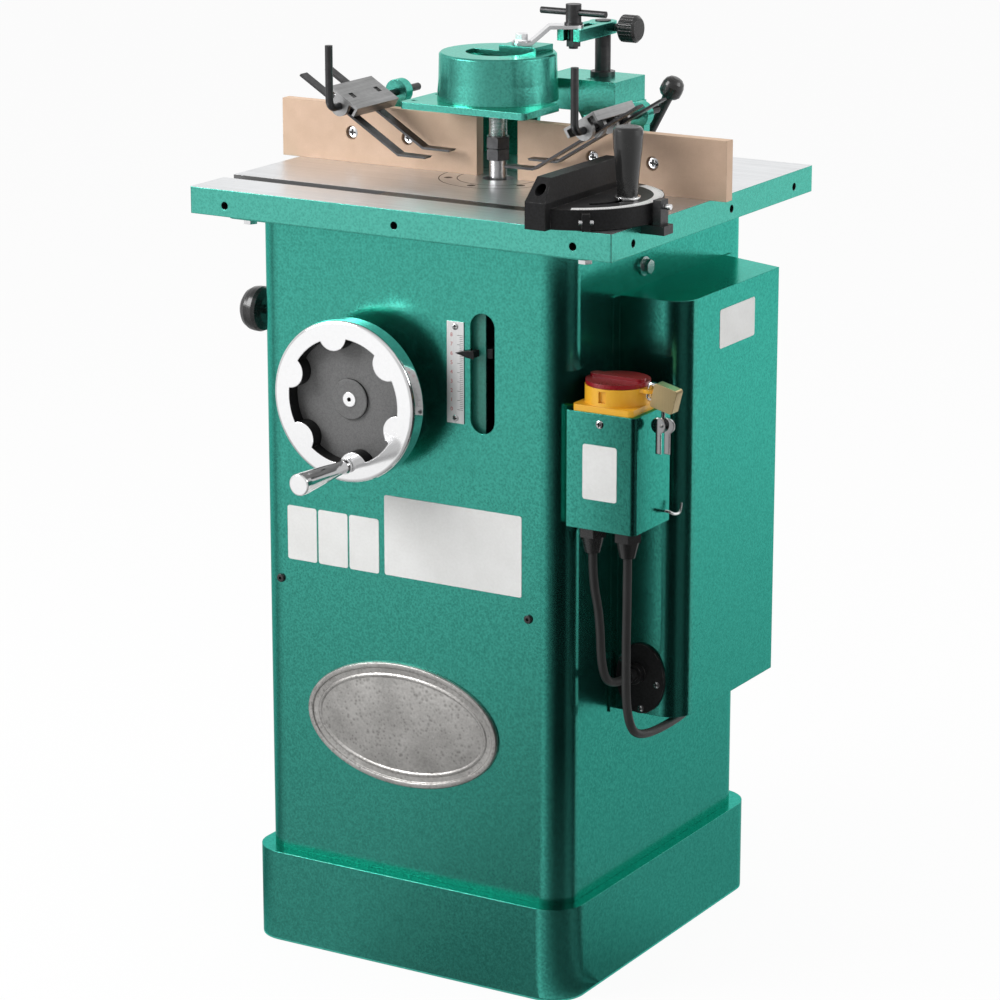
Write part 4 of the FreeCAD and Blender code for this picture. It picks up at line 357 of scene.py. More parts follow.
@dataclass(frozen=True)
class Machined(Finish):
    """Bare metal with the marks of its working, from ground iron to polished chrome."""

    dull: Colour = grey(0.2)
    rough: Pair = (0.22, 0.4)
    marks: Marks = Marks.EVEN
    pitch: float = 1400.0
    depth: float = 0.00004
    dust: float = 0.0
    stain: float = 0.25
    edge: float = 0.0006

    def lay(self, desk: NodeDesk, skin: Sockets) -> None:
        """Lays worked metal with its streaks, a slow stain and any dust.

        Args:
            desk: The material's desk.
            skin: The inputs of its Principled shader.
        """
        edge = desk.group("soft_edge", Radius=self.edge)
        marks = desk.group("tool_marks", Stretch=self.marks.value, Scale=self.pitch)
        stain = desk.group("grain", Scale=14.0, Low=0.0, High=self.stain)["Value"]
        dulled = desk.math("MULTIPLY", marks["Streak"], 0.45)
        metal = desk.blend(desk.math("ADD", dulled, stain), self.colour, self.dull)
        bare: object = 1.0
        if self.dust > 0:
            lying = desk.group("dust", Amount=self.dust, Scale=22.0)["Mask"]
            metal = desk.blend(lying, metal, WOOD_DUST)
            bare = desk.spread(lying, 0.0, 0.6, 1.0, 0.0)
        shine = desk.spread(marks["Streak"], 0.0, 1.0, *self.rough)
        shine = desk.math("ADD", shine, desk.math("MULTIPLY", stain, 0.2))
        desk.fill(skin, {"Base Color": metal, "Metallic": bare, "Roughness": shine,
                         "Normal": desk.bump(0.4, self.depth, marks["Height"], edge["Normal"])})


@dataclass(frozen=True)
class Moulded(Finish):
    """Moulded plastic or rubber with a fine texture, paler where it is handled."""

    pale: Colour = grey(0.05)
    rough: Pair = (0.34, 0.5)
    texture: float = 900.0
    depth: float = 0.00008
    dust: float = 0.0
    edge: float = 0.0008
    coat: float = 0.0

    def lay(self, desk: NodeDesk, skin: Sockets) -> None:
        """Lays a moulded skin, handled edges and any dust.

        Args:
            desk: The material's desk.
            skin: The inputs of its Principled shader.
        """
        edge = desk.group("soft_edge", Radius=self.edge)
        rough = desk.group("grain", Scale=30.0, Low=self.rough[0], High=self.rough[1])["Value"]
        rub = desk.group("edge_wear", Edge=edge["Edge"], Scale=120.0, Amount=0.5)
        plastic = desk.blend(rub["Mask"], self.colour, self.pale)
        plastic = desk.blend(desk.spread(rough, *self.rough, 0.0, 0.25), plastic, self.pale)
        if self.dust > 0:
            lying = desk.group("dust", Amount=self.dust, Scale=34.0)["Mask"]
            plastic = desk.blend(lying, plastic, WOOD_DUST)
        pores = desk.noise(self.texture, detail=4.0, rough=0.6)
        desk.fill(skin, {"Base Color": plastic, "Roughness": rough, "Coat Weight": self.coat,
                         "Coat Roughness": COAT_ROUGH,
                         "Normal": desk.bump(0.5, self.depth, pores, edge["Normal"])})


@dataclass(frozen=True)
class Fibreboard(Finish):
    """Pressed fibre board: fine mottled fibres of two sizes, a darker edge and a soft fuzz."""

    fibre: Colour = (0.3, 0.2, 0.12)
    edge: float = 0.0007
    depth: float = 0.0001
    dust: float = 0.3

    def lay(self, desk: NodeDesk, skin: Sockets) -> None:
        """Lays pressed fibres of two sizes and a soft fuzz.

        Args:
            desk: The material's desk.
            skin: The inputs of its Principled shader.
        """
        edge = desk.group("soft_edge", Radius=self.edge)
        mottle = desk.group("grain", Scale=55.0, Low=0.0, High=0.6)["Value"]
        strands = desk.group("tool_marks", Stretch=(0.35, 1.0, 0.7), Scale=1500.0)
        lying = desk.group("dust", Amount=self.dust, Scale=40.0)["Mask"]
        board = desk.blend(mottle, self.colour, self.fibre)
        board = desk.blend(desk.math("MULTIPLY", strands["Streak"], 0.35), board, self.fibre)
        board = desk.blend(desk.math("MULTIPLY", edge["Edge"], 0.25), board, BOARD_EDGE)
        desk.fill(skin, {"Base Color": desk.blend(lying, board, BOARD_DUST),
                         "Roughness": desk.spread(mottle, 0.0, 0.6, 0.55, 0.8),
                         "Normal": desk.bump(0.35, self.depth, strands["Height"], edge["Normal"])})


@dataclass(frozen=True)
class PlainPlate(Finish):
    """A blank plate: smooth printed film that has yellowed a little and scuffed at its rim."""

    scuff: Colour = (0.5, 0.49, 0.46)
    edge: float = 0.0008
    depth: float = 0.00005

    def lay(self, desk: NodeDesk, skin: Sockets) -> None:
        """Lays a pale film with slow yellowing and scuffs.

        Args:
            desk: The material's desk.
            skin: The inputs of its Principled shader.
        """
        edge = desk.group("soft_edge", Radius=self.edge)
        tone = desk.group("grain", Scale=22.0, Low=0.0, High=0.3)["Value"]
        rub = desk.group("edge_wear", Edge=edge["Edge"], Scale=140.0, Amount=0.7)
        film = desk.blend(tone, self.colour, self.scuff)
        desk.fill(skin, {"Base Color": desk.blend(rub["Mask"], film, self.scuff),
                         "Roughness": desk.spread(tone, 0.0, 0.3, 0.28, 0.42),
                         "Normal": desk.bump(0.2, self.depth, desk.noise(260.0), edge["Normal"])})


@dataclass(frozen=True)
class CastPewter(Finish):
    """Cast pewter with a dark wash left in its hollows."""

    wash: Colour = (0.09, 0.085, 0.08)
    edge: float = 0.0012
    depth: float = 0.0004

    def lay(self, desk: NodeDesk, skin: Sockets) -> None:
        """Lays cast metal with a dark wash and brighter rubbed edges.

        Args:
            desk: The material's desk.
            skin: The inputs of its Principled shader.
        """
        edge = desk.group("soft_edge", Radius=self.edge)
        cells = desk.group("hammer", Scale=230.0)
        tone = desk.group("grain", Scale=24.0, Low=0.0, High=0.55)["Value"]
        rub = desk.group("edge_wear", Edge=edge["Edge"], Scale=70.0, Amount=0.8)
        dark = desk.math("MULTIPLY", cells["Hollow"], 0.6)
        metal = desk.blend(desk.math("MAXIMUM", dark, tone), self.colour, self.wash)
        desk.fill(skin, {"Base Color": desk.blend(rub["Mask"], metal, RUBBED_PEWTER), "Metallic": 0.9,
                         "Roughness": desk.spread(cells["Hollow"], 0.0, 1.0, 0.28, 0.5),
                         "Normal": desk.bump(0.7, self.depth, cells["Height"], edge["Normal"])})


GREEN_SHEET = Enamel("green_sheet", "green_enamel", (0.058, 0.38, 0.305), hollow=(0.035, 0.265, 0.21),
                     metallic=0.97, rough=(0.18, 0.24), cells=400.0, depth=0.00009, coat=0.1, wear=0.25,
                     tint=(0.4, 0.95, 0.85))
SHIELD_PAINT = Enamel("shield_paint", "green_enamel", (0.03, 0.22, 0.17), hollow=(0.02, 0.17, 0.13),
                      metallic=0.2, rough=(0.3, 0.4), cells=400.0, depth=0.00009, coat=0.1)
GREEN_CASTING = Enamel("green_casting", "green_enamel", (0.09, 0.46, 0.375), hollow=(0.062, 0.36, 0.29),
                       metallic=0.95, rough=(0.2, 0.28), wear=0.3, tint=(0.5, 0.95, 0.85))
BLACK_CASTING = Enamel("black_casting", "black_enamel", (0.013, 0.013, 0.014), hollow=grey(0.007),
                       rough=(0.38, 0.54), cells=420.0, coat=0.0, shine=0.18, wear=0.4, dust=0.02)
GREY_WEB = Enamel("grey_web", "grey_enamel", grey(0.16), hollow=grey(0.11),
                  rough=(0.42, 0.55), cells=700.0, depth=0.0001, coat=0.0, wear=0.3, dust=0.02)
MOTOR_PAINT = Enamel("motor_paint", "motor_paint", (0.07, 0.075, 0.08), hollow=(0.04, 0.043, 0.046),
                     rough=(0.4, 0.55), cells=300.0, coat=0.05, dust=0.2)
GROUND_IRON = Machined("ground_iron", "ground_iron", (0.88, 0.89, 0.905), dull=(0.65, 0.66, 0.672),
                       rough=(0.27, 0.4), marks=Marks.ALONG_X)
# A darker copy of the ground iron: painted shade in the mitre slot.
SLOT_SHADE_IRON = Machined("slot_shade_iron", "ground_iron", grey(0.2), dull=grey(0.1), rough=(0.4, 0.55),
                     marks=Marks.ALONG_X)
STEEL = Machined("steel", "steel", grey(0.6), dull=grey(0.34), rough=(0.16, 0.3))
# A darker copy of the steel: painted shade inside holes, bores and screw recesses.
BORE_SHADE = Machined("bore_shade", "steel", grey(0.07), dull=grey(0.03), rough=(0.4, 0.6))
ZINC = Machined("zinc", "zinc_steel", (0.8, 0.8, 0.81), dull=(0.58, 0.59, 0.6), rough=(0.13, 0.26), stain=0.2)
OXIDE = Machined("black_oxide", "zinc_steel", (0.085, 0.084, 0.085), dull=(0.03, 0.03, 0.032),
                 rough=(0.26, 0.42), stain=0.4)
CHANNEL_STEEL = Machined("channel_steel", "zinc_steel", grey(0.42), dull=grey(0.2),
                         rough=(0.28, 0.44), marks=Marks.ALONG_Y, stain=0.4)
SCALE_FACE = Machined("scale_face", "scale_face", grey(0.82), dull=grey(0.6), rough=(0.3, 0.42),
                      marks=Marks.ALONG_Z)
CHROME = Machined("chrome", "chrome", (0.94, 0.94, 0.945), dull=(0.84, 0.84, 0.845), rough=(0.05, 0.11),
                  stain=0.1, depth=0.00001, edge=0.0015)
BRASS = Machined("brass", "brass", (0.86, 0.69, 0.38), dull=(0.68, 0.51, 0.26), rough=(0.24, 0.38),
                 marks=Marks.ALONG_Z, stain=0.3)
BRONZE = Machined("bronze", "bronze", (0.55, 0.36, 0.18), dull=(0.3, 0.18, 0.08), rough=(0.3, 0.45))
BARE_CASTING = Machined("bare_casting", "bare_casting", grey(0.33), dull=grey(0.16),
                        rough=(0.42, 0.6), pitch=420.0, depth=0.0002, stain=0.5, dust=0.3)
YELLOW = Moulded("yellow_plastic", "yellow_plastic", (0.86, 0.43, 0.015), pale=(0.92, 0.55, 0.09),
                 rough=(0.28, 0.4), coat=0.25, dust=0.02)
RED = Moulded("red_plastic", "red_plastic", (0.25, 0.005, 0.012), pale=(0.36, 0.02, 0.025),
              rough=(0.24, 0.36), coat=0.3, dust=0.02)
BLACK_PLASTIC = Moulded("black_plastic", "black_plastic", grey(0.014), pale=grey(0.034),
                        rough=(0.2, 0.3), depth=0.00003, coat=0.25, dust=0.015)
RUBBER = Moulded("rubber", "rubber", grey(0.022), rough=(0.42, 0.58), texture=600.0, depth=0.00012,
                 dust=0.08)
# Black ink for the printed marks, also used for the painted shadow in the insert's seams.
INK_AND_SHADE = Moulded("ink_and_shade", "black_plastic", grey(0.012), rough=(0.5, 0.6))
RED_INK = Moulded("red_ink", "red_plastic", (0.5, 0.05, 0.05), rough=(0.5, 0.6))
MDF = Fibreboard("mdf", "mdf", (0.74, 0.525, 0.385), fibre=(0.6, 0.41, 0.28))
BLANK = PlainPlate("blank_plate", "scale_face", (0.84, 0.84, 0.83))
PEWTER = CastPewter("pewter", "zinc_steel", (0.6, 0.585, 0.565))


@dataclass(frozen=True)
class Seat:
    """Where a small piece sits: the matrix of its spot, its finish and the body it rides on."""

    spot: Matrix
    finish: Finish
    body: str = "frame"


def mesh_piece(name: str, points: Iterable[Sequence[float]], faces: Iterable[Sequence[int]],
               seat: Seat) -> bpy.types.Object:
    """Makes a piece from points and faces, dresses it and lets it ride on its body.

    Args:
        name: The piece's name.
        points: Its points, in the spot's millimetres.
        faces: Its faces as point numbers.
        seat: Where it sits.

    Returns:
        The piece.
    """
    sharp_from = math.radians(35.0)
    mesh = bpy.data.meshes.new(name)
    mesh.from_pydata([seat.spot @ Vector(point) for point in points], [], [tuple(face) for face in faces])
    mesh.validate()
    mesh.update()
    mesh.shade_smooth()
    mesh.set_sharp_from_angle(angle=sharp_from)
    piece = bpy.data.objects.new(name, mesh)
    bpy.context.scene.collection.objects.link(piece)
    mesh.materials.append(seat.finish.material())
    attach(piece, seat.body)
    LOG.info("made %s on %s in %s", name, seat.body, seat.finish.name)
    return piece


def ring_mesh(rings: Rings, capped: bool = True) -> tuple[Points, Faces]:
    """Joins equal rings of points into a skin.

    Args:
        rings: The rings, each with the same number of points.
        capped: Whether the first and the last ring are closed.

    Returns:
        The points and the faces.
    """
    count = len(rings[0])
    points = [point for ring in rings for point in ring]
    faces: Faces = []
    for level in range(len(rings) - 1):
        for i in range(count):
            low, after = level * count + i, level * count + (i + 1) % count
            faces.append((low, after, after + count, low + count))
    if capped:
        faces.append(tuple(reversed(range(count))))
        faces.append(tuple(range((len(rings) - 1) * count, len(rings) * count)))
    return points, faces


def oval(wide: float, tall: float, steps: int) -> list[Pair]:
    """Gives the outline of an oval from its half width and half height."""
    turns = [2 * math.pi * i / steps for i in range(steps)]
    return [(wide * math.cos(turn), tall * math.sin(turn)) for turn in turns]


def oval_rings(shape: Iterable[Point], steps: int) -> list[Points]:
    """Gives an oval ring for each half width, half height and level of a shape."""
    return [[(x, y, level) for x, y in oval(wide, tall, steps)] for wide, tall, level in shape]


def round_corners(wide: float, tall: float, corner: float, steps: int = 6) -> list[Pair]:
    """Gives the outline of a rectangle with round corners, centred on its spot.

    Args:
        wide: Its width.
        tall: Its height.
        corner: The radius of its corners.
        steps: How many parts each corner has.

    Returns:
        The outline's points, anticlockwise.
    """
    out = []
    for quarter, (sx, sy) in enumerate(((1, 1), (-1, 1), (-1, -1), (1, -1))):
        for i in range(steps + 1):
            angle = math.radians(90 * quarter + 90 * i / steps)
            out.append((sx * (wide / 2 - corner) + corner * math.cos(angle),
                        sy * (tall / 2 - corner) + corner * math.sin(angle)))
    return out


def blank_plate(name: str, size: Pair, spot: Matrix, corner: float = 3.0) -> None:
    """Makes a thin blank plate with a small chamfer round its face.

    Args:
        name: The piece's name.
        size: Its width and height.
        spot: The matrix of the spot it sits on.
        corner: The radius of its corners.
    """
    thick, chamfer = 0.35, 0.21
    outline = round_corners(*size, corner)
    lip = 1.0 - chamfer / max(abs(x) + abs(y) for x, y in outline)
    rings = [[(x, y, 0.0) for x, y in outline], [(x, y, chamfer) for x, y in outline],
             [(x * lip, y * lip, thick) for x, y in outline]]
    mesh_piece(name, *ring_mesh(rings), Seat(spot, BLANK))


def bar(start: float, end: float, middle: float, half: float, level: float) -> list[Point]:
    """Gives the corners of a thin flat mark that runs across."""
    low, high = middle - half, middle + half
    return [(start, low, level), (end, low, level), (end, high, level), (start, high, level)]


def mark_piece(name: str, marks: Iterable[Sequence[Sequence[float]]], seat: Seat) -> None:
    """Makes one piece of many flat marks with four corners each."""
    points = [point for mark in marks for point in mark]
    mesh_piece(name, points, [range(first, first + 4) for first in range(0, len(points), 4)], seat)


def number_mesh(text: str, height: float) -> tuple[Points, Faces]:
    """Gives the flat mesh of a plain number.

    Args:
        text: The number.
        height: How tall it is, in millimetres.

    Returns:
        The points and the faces.
    """
    size_for_height = 1.4
    curve = bpy.data.curves.new("number_outline", "FONT")
    curve.body = text
    curve.size = height * size_for_height
    curve.align_x = "CENTER"
    curve.align_y = "CENTER"
    holder = bpy.data.objects.new("number_holder", curve)
    bpy.context.scene.collection.objects.link(holder)
    bpy.context.view_layer.update()
    mesh = bpy.data.meshes.new_from_object(holder.evaluated_get(bpy.context.evaluated_depsgraph_get()))
    points = [tuple(vertex.co) for vertex in mesh.vertices]
    faces = [tuple(face.vertices) for face in mesh.polygons]
    bpy.data.objects.remove(holder)
    bpy.data.curves.remove(curve)
    bpy.data.meshes.remove(mesh)
    return points, faces


@dataclass(frozen=True)
class ScrewHead:
    """A screw head of some radius."""

    radius: float

    def build(self, name: str, seat: Seat) -> None:
        """Builds the head on its seat."""
        raise NotImplementedError

    def row(self, name: str, finish: Finish, spots: Iterable[Matrix], body: str = "frame") -> None:
        """Builds one head on each spot, with their names numbered from 1."""
        for number, spot in enumerate(spots, 1):
            self.build("%s_%d" % (name, number), Seat(spot, finish, body))


@dataclass(frozen=True)
class CrossHead(ScrewHead):
    """A domed screw head with a cross recess, whose arm, width and depth are shares of the radius."""

    dome: float
    arm: float = 0.58
    slot: float = 0.15
    deep: float = 0.34
    deep_in_dome: float = 0.85
    floor_rise: float = 0.55
    foot: float = 0.3
    round_to_rim: float = 0.97
    first_ring: float = 0.15

    def build(self, name: str, seat: Seat) -> None:
        """Builds the head on a polar grid, so that the recess has its own floor and walls, and paints shade
        on the recess's faces.

        Args:
            name: The piece's name.
            seat: Where it sits.
        """
        arm, slot = self.radius * self.arm, self.radius * self.slot
        deep = min(self.radius * self.deep, self.dome * self.deep_in_dome)
        steps, levels = 72, 22
        rings: list[Points] = []
        for level in range(levels + 1):
            radius = self.radius * max(level, self.first_ring) / levels
            high = self.dome * math.sqrt(1.0 - (radius / self.radius) ** 2 * self.round_to_rim)
            sunk = high - deep * (1.0 - self.floor_rise * radius / arm)
            rings.append([(x, y, sunk if self.in_cross(x, y, arm, slot) else high)
                          for x, y in oval(radius, radius, steps)])
        rings += oval_rings([(self.radius, self.radius, -self.foot)], steps)
        points, faces = ring_mesh(rings)
        head = mesh_piece(name, points, faces, seat)
        # The recess's faces take the bore shade: painted shade in the cross.
        head.data.materials.append(BORE_SHADE.material())
        skirt = steps * (levels + 1)
        for face, numbers in zip(head.data.polygons, faces):
            on_dome = len(numbers) == 4 and max(numbers) < skirt
            sunk = any(self.in_cross(*points[n][:2], arm, slot) for n in numbers)
            face.material_index = int(on_dome and sunk)

    @staticmethod
    def in_cross(x: float, y: float, arm: float, slot: float) -> bool:
        """Tells whether a point of the face lies in the recess."""
        return min(abs(x), abs(y)) < slot and max(abs(x), abs(y)) < arm


@dataclass(frozen=True)
class SocketHead(ScrewHead):
    """A round screw head with a six-sided socket."""

    tall: float
    flats: float
    floor: float = 0.25

    def build(self, name: str, seat: Seat) -> None:
        """Builds the head from its skirt to the floor of its socket.

        Args:
            name: The piece's name.
            seat: Where it sits.
        """
        steps = 36
        turns = [2 * math.pi * i / steps for i in range(steps)]
        sixth = math.pi / 3
        six = [self.flats / 2 / math.cos((turn + sixth / 2) % sixth - sixth / 2) for turn in turns]
        shape = [(self.radius * out, self.tall * up)
                 for out, up in ((1.0, 0.0), (1.0, 0.45), (0.82, 0.9), (0.66, 1.0))]
        rings = oval_rings([(radius, radius, high) for radius, high in shape], steps)
        for high in (self.tall, self.tall * self.floor):
            rings.append([(reach * math.cos(turn), reach * math.sin(turn), high)
                          for turn, reach in zip(turns, six)])
        mesh_piece(name, *ring_mesh(rings), seat)


class SubAssembly:
    """A group of solids with their finishes and the small pieces on them."""

    looks: dict[Finish, tuple[str, ...]] = {}

    def patches(self) -> Patches:
        """Gives each solid that has another finish on some faces, with that finish and its test."""
        return ()

    def add(self) -> None:
        """Adds the small pieces, where there are any."""

    def build(self, nodes: dict[str, bpy.types.Object]) -> None:
        """Dresses the solids, patches their other faces and adds the small pieces.

        Args:
            nodes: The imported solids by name.
        """
        for finish, names in self.looks.items():
            for name in names:
                for slot in nodes[name].material_slots:
                    slot.material = finish.material()
                LOG.info("dressed %s in %s", name, finish.name)
        for name, finish, test in self.patches():
            mesh = nodes[name].data
            mesh.materials.append(finish.material())
            last = len(mesh.materials) - 1
            for face in mesh.polygons:
                if test(face.center / MM, face.normal):
                    face.material_index = last
            LOG.info("patched %s with %s", name, finish.name)
        self.add()


@dataclass
class Stand(SubAssembly):
    """The plinth, the cabinet with its front plates and screws, and the height scale."""

    front: float = -204.0
    badge: Pair = (-9.0, 278.0)
    badge_half: Pair = (121.0, 70.0)
    badge_shape: tuple[Pair, ...] = (
        (0.0, 0.0), (0.0, 2.8), (1.2, 4.4), (3.6, 5.0), (6.0, 4.4), (7.2, 2.6), (13.0, 2.2), (14.0, 3.2),
        (15.4, 3.6), (16.8, 3.2), (17.8, 2.2), (30.0, 3.4), (46.0, 4.2), (62.0, 4.5))
    panel_screws: tuple[Pair, ...] = ((-165.0, 421.0), (149.0, 423.0))
    large_plate: Pair = (55.0, 489.5)
    large_size: Pair = (171.0, 89.0)
    large_corner: float = 2.5
    small_plates: tuple[float, ...] = (-136.5, -96.5, -56.5)
    small_z: float = 475.0
    small_size: Pair = (38.0, 61.0)
    scale_face: float = -205.2
    scale_x: float = 60.2
    scale_half: float = 10.4
    scale_border: float = 1.0
    scale_screws: Pair = (630.5, 729.0)
    marks: Pair = (640.0, 720.0)
    mark_step: float = 2.0
    mark_half: float = 0.22
    mark_lengths: Pair = (4.0, 7.0)
    mark_level: float = 0.05
    marks_a_number: int = 5
    number_tall: float = 4.2
    number_x: float = -4.6

    looks = {GREEN_SHEET: ("plinth", "cabinet_shell"), SHIELD_PAINT: ("slot_shield",), ZINC: ("frame_bolts",),
             SCALE_FACE: ("scale_plate",), BLACK_CASTING: ("height_pointer",)}

    def on_front(self, place: Pair) -> Matrix:
        """Gives the spot of a place on the cabinet's front."""
        return Face.FRONT.at((place[0], self.front, place[1]))

    def add(self) -> None:
        """Adds the plain rimmed oval, the blank plates, the screws and the scale's marks."""
        wide, tall = self.badge_half
        shape = [(wide - inset, tall - inset, high) for inset, high in self.badge_shape]
        rings = oval_rings(shape, steps=128)
        mesh_piece("oval_badge", *ring_mesh(rings), Seat(self.on_front(self.badge), PEWTER))
        blank_plate("blank_plate_large", self.large_size, self.on_front(self.large_plate), self.large_corner)
        for number, x in enumerate(self.small_plates, 1):
            blank_plate("blank_plate_small_%d" % number, self.small_size, self.on_front((x, self.small_z)))
        spots = [self.on_front(place) for place in self.panel_screws]
        SocketHead(radius=5.0, tall=3.0, flats=3.4).row("panel_screw", BLACK_PLASTIC, spots)
        spots = [Face.FRONT.at((self.scale_x, self.scale_face, z)) for z in self.scale_screws]
        CrossHead(radius=3.6, dome=1.3).row("scale_screw", STEEL, spots)
        self.add_scale()

    def add_scale(self) -> None:
        """Adds the graduations and plain numbers of the height scale."""
        spot = Face.FRONT.at((self.scale_x, self.scale_face, 0.0))
        first, last = self.marks
        right = self.scale_half - self.scale_border
        short, long = self.mark_lengths
        count = int((last - first) / self.mark_step)
        marks = []
        for i in range(count + 1):
            start = right - (short if i % self.marks_a_number else long)
            marks.append(bar(start, right, first + self.mark_step * i, self.mark_half, self.mark_level))
        mark_piece("scale_marks", marks, Seat(spot, INK_AND_SHADE))
        points: Points = []
        faces: Faces = []
        for i in range(count // self.marks_a_number + 1):
            shape, sides = number_mesh(str(i), self.number_tall)
            start = len(points)
            up = first + self.mark_step * self.marks_a_number * i
            points += [(x + self.number_x, y + up, self.mark_level) for x, y, _ in shape]
            faces += [tuple(start + n for n in side) for side in sides]
        mesh_piece("scale_numbers", points, faces, Seat(spot, RED_INK))


@dataclass
class TableTop(SubAssembly):
    """The ground table with painted sides, its insert rings and their screws."""

    top: float = 851.0
    low: float = 822.0
    half: Pair = (259.0, 228.5)
    slot_y: float = -156.0
    slot_half: float = 10.2
    slot_deep: float = 11.0
    spindle_y: float = -17.0
    seat: float = 66.0
    holes_from: float = 100.0
    holes_inside: float = 0.5
    slot_rim: float = 0.4
    margin: float = 1.0
    insert_screws: tuple[Pair, ...] = ((-48.0, -42.0), (-2.0, -70.0), (44.0, -43.0))
    seam_shadows: Pair = (65.0, 45.0)
    seam_wide: float = 1.1
    seam_tall: float = 0.06

    looks = {GREEN_CASTING: ("table",), GROUND_IRON: ("table_insert",)}

    def patches(self) -> Patches:
        """Gives the table's bare faces, its mitre slot in painted shade and its threaded holes in painted
        shade.
        """
        return (("table", GROUND_IRON, self.is_ground), ("table", SLOT_SHADE_IRON, self.is_slot),
                ("table", BORE_SHADE, self.is_bore))

    def add(self) -> None:
        """Adds the insert's screws and the dark lines of painted shadow in the gaps round its rings."""
        spots = [Face.TOP.at((x, y, self.top)) for x, y in self.insert_screws]
        CrossHead(radius=4.6, dome=0.2).row("insert_screw", OXIDE, spots)
        spot = Face.TOP.at((0.0, self.spindle_y, self.top))
        # Each seam is a thin dark film on the top: painted shadow in the gap round a ring.
        for number, outside in enumerate(self.seam_shadows, 1):
            inside = outside - self.seam_wide
            shape = ((outside, 0.0), (outside, self.seam_tall), (inside, self.seam_tall), (inside, 0.0))
            rings = oval_rings([(reach, reach, high) for reach, high in shape], steps=128)
            mesh_piece("insert_seam_%d" % number, *ring_mesh(rings, capped=False), Seat(spot, INK_AND_SHADE))

    def is_ground(self, middle: Vector, normal: Vector) -> bool:
        """Tells whether a face of the table is bare: its top, slot floor, slot walls and bore."""
        in_slot = abs(middle.y - self.slot_y) < self.slot_half and middle.z > self.top - self.slot_deep
        return normal.z > 0.9 or in_slot or math.hypot(middle.x, middle.y - self.spindle_y) < self.seat

    def is_slot(self, middle: Vector, normal: Vector) -> bool:
        """Tells whether a face lies in the mitre slot, below the top."""
        below = self.top - self.slot_deep - self.margin < middle.z < self.top - self.slot_rim
        return below and abs(middle.y - self.slot_y) < self.slot_half + self.margin

    def is_bore(self, middle: Vector, normal: Vector) -> bool:
        """Tells whether a face lies in one of the threaded edge holes.

        Args:
            middle: The face's middle, in millimetres.
            normal: The face's normal.

        Returns:
            True for a face of a hole.
        """
        underside = abs(normal.z) > 0.999 and middle.z < self.low + self.margin
        if underside or self.is_ground(middle, normal):
            return False
        within = all(abs(middle[axis]) < self.half[axis] - self.holes_inside for axis in range(2))
        return within and math.hypot(*middle.xy) > self.holes_from


@dataclass
class MotorSide(SubAssembly):
    """The motor cover, the switch with its padlock, the lead cover, and the two leads."""

    lead_diameter: float = 9.4
    motor_route: tuple[Point, ...] = (
        (211.55, -178, 500), (211.55, -178, 470), (219.5, -176, 430), (221, -174.5, 369), (221, -151.5, 346),
        (221, -119, 346))
    motor_length: float = 193.8
    supply_route: tuple[Point, ...] = (
        (253.05, -178, 500), (253.05, -178, 450), (252.05, -177.5, 400), (253.55, -178.5, 321),
        (254.05, -148.5, 291), (255.05, -35.6, 291), (231.45, -12, 291), (198, -12, 291))
    supply_length: float = 394.0
    cover_plate: Point = (274.0, 22.5, 714.0)
    cover_size: Pair = (81.0, 42.5)
    box_front: float = -202.0
    box_plate: Pair = (232.4, 593.0)
    box_size: Pair = (40.5, 59.0)
    box_screw: Pair = (232.0, 645.0)
    oval_screws: tuple[Pair, ...] = ((246.0, 336.0), (227.0, 306.5), (203.0, 360.0))
    oval_face: float = -98.0

    looks = {GREEN_SHEET: ("motor_cover", "switch_box"), BLACK_CASTING: ("lead_cover",),
             YELLOW: ("switch_collar",), RED: ("switch_handle",), BRASS: ("padlock_body",),
             CHROME: ("padlock_shackle", "key_hook"), BLACK_PLASTIC: ("cable_glands",)}

    def add(self) -> None:
        """Adds the leads, the blank plates and the screws."""
        self.lay_lead("motor_lead", self.motor_route, self.motor_length)
        self.lay_lead("supply_lead", self.supply_route, self.supply_length)
        blank_plate("blank_plate_cover", self.cover_size, Face.RIGHT.at(self.cover_plate))
        plate, screw = (Face.FRONT.at((x, self.box_front, z)) for x, z in (self.box_plate, self.box_screw))
        blank_plate("blank_plate_switch", self.box_size, plate)
        CrossHead(radius=4.6, dome=2.0).build("switch_screw", Seat(screw, ZINC))
        spots = [Face.FRONT.at((x, self.oval_face, z)) for x, z in self.oval_screws]
        CrossHead(radius=3.8, dome=1.6).row("lead_cover_screw", ZINC, spots)

    def lay_lead(self, node: str, route: Sequence[Point], length: float) -> None:
        """Lays one lead as a smooth curve through its route's control points.

        Args:
            node: The solid that it stands for.
            route: Its control points, from its gland to its far end.
            length: Its length, in millimetres; not used.
        """
        curve = bpy.data.curves.new(node + "_flex", "CURVE")
        curve.dimensions = "3D"
        curve.resolution_u = 24
        curve.bevel_depth = self.lead_diameter / 2 * MM
        curve.bevel_resolution = 8
        curve.use_fill_caps = True
        spline = curve.splines.new("NURBS")
        spline.points.add(len(route) - 1)
        for point, place in zip(spline.points, route):
            point.co = (*(value * MM for value in place), 1.0)
        spline.order_u = 3
        spline.use_endpoint_u = True
        piece = bpy.data.objects.new(node + "_flex", curve)
        bpy.context.scene.collection.objects.link(piece)
        curve.materials.append(RUBBER.material())
        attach(piece, "frame")
        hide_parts(node)
        LOG.info("laid %s for %s", piece.name, node)


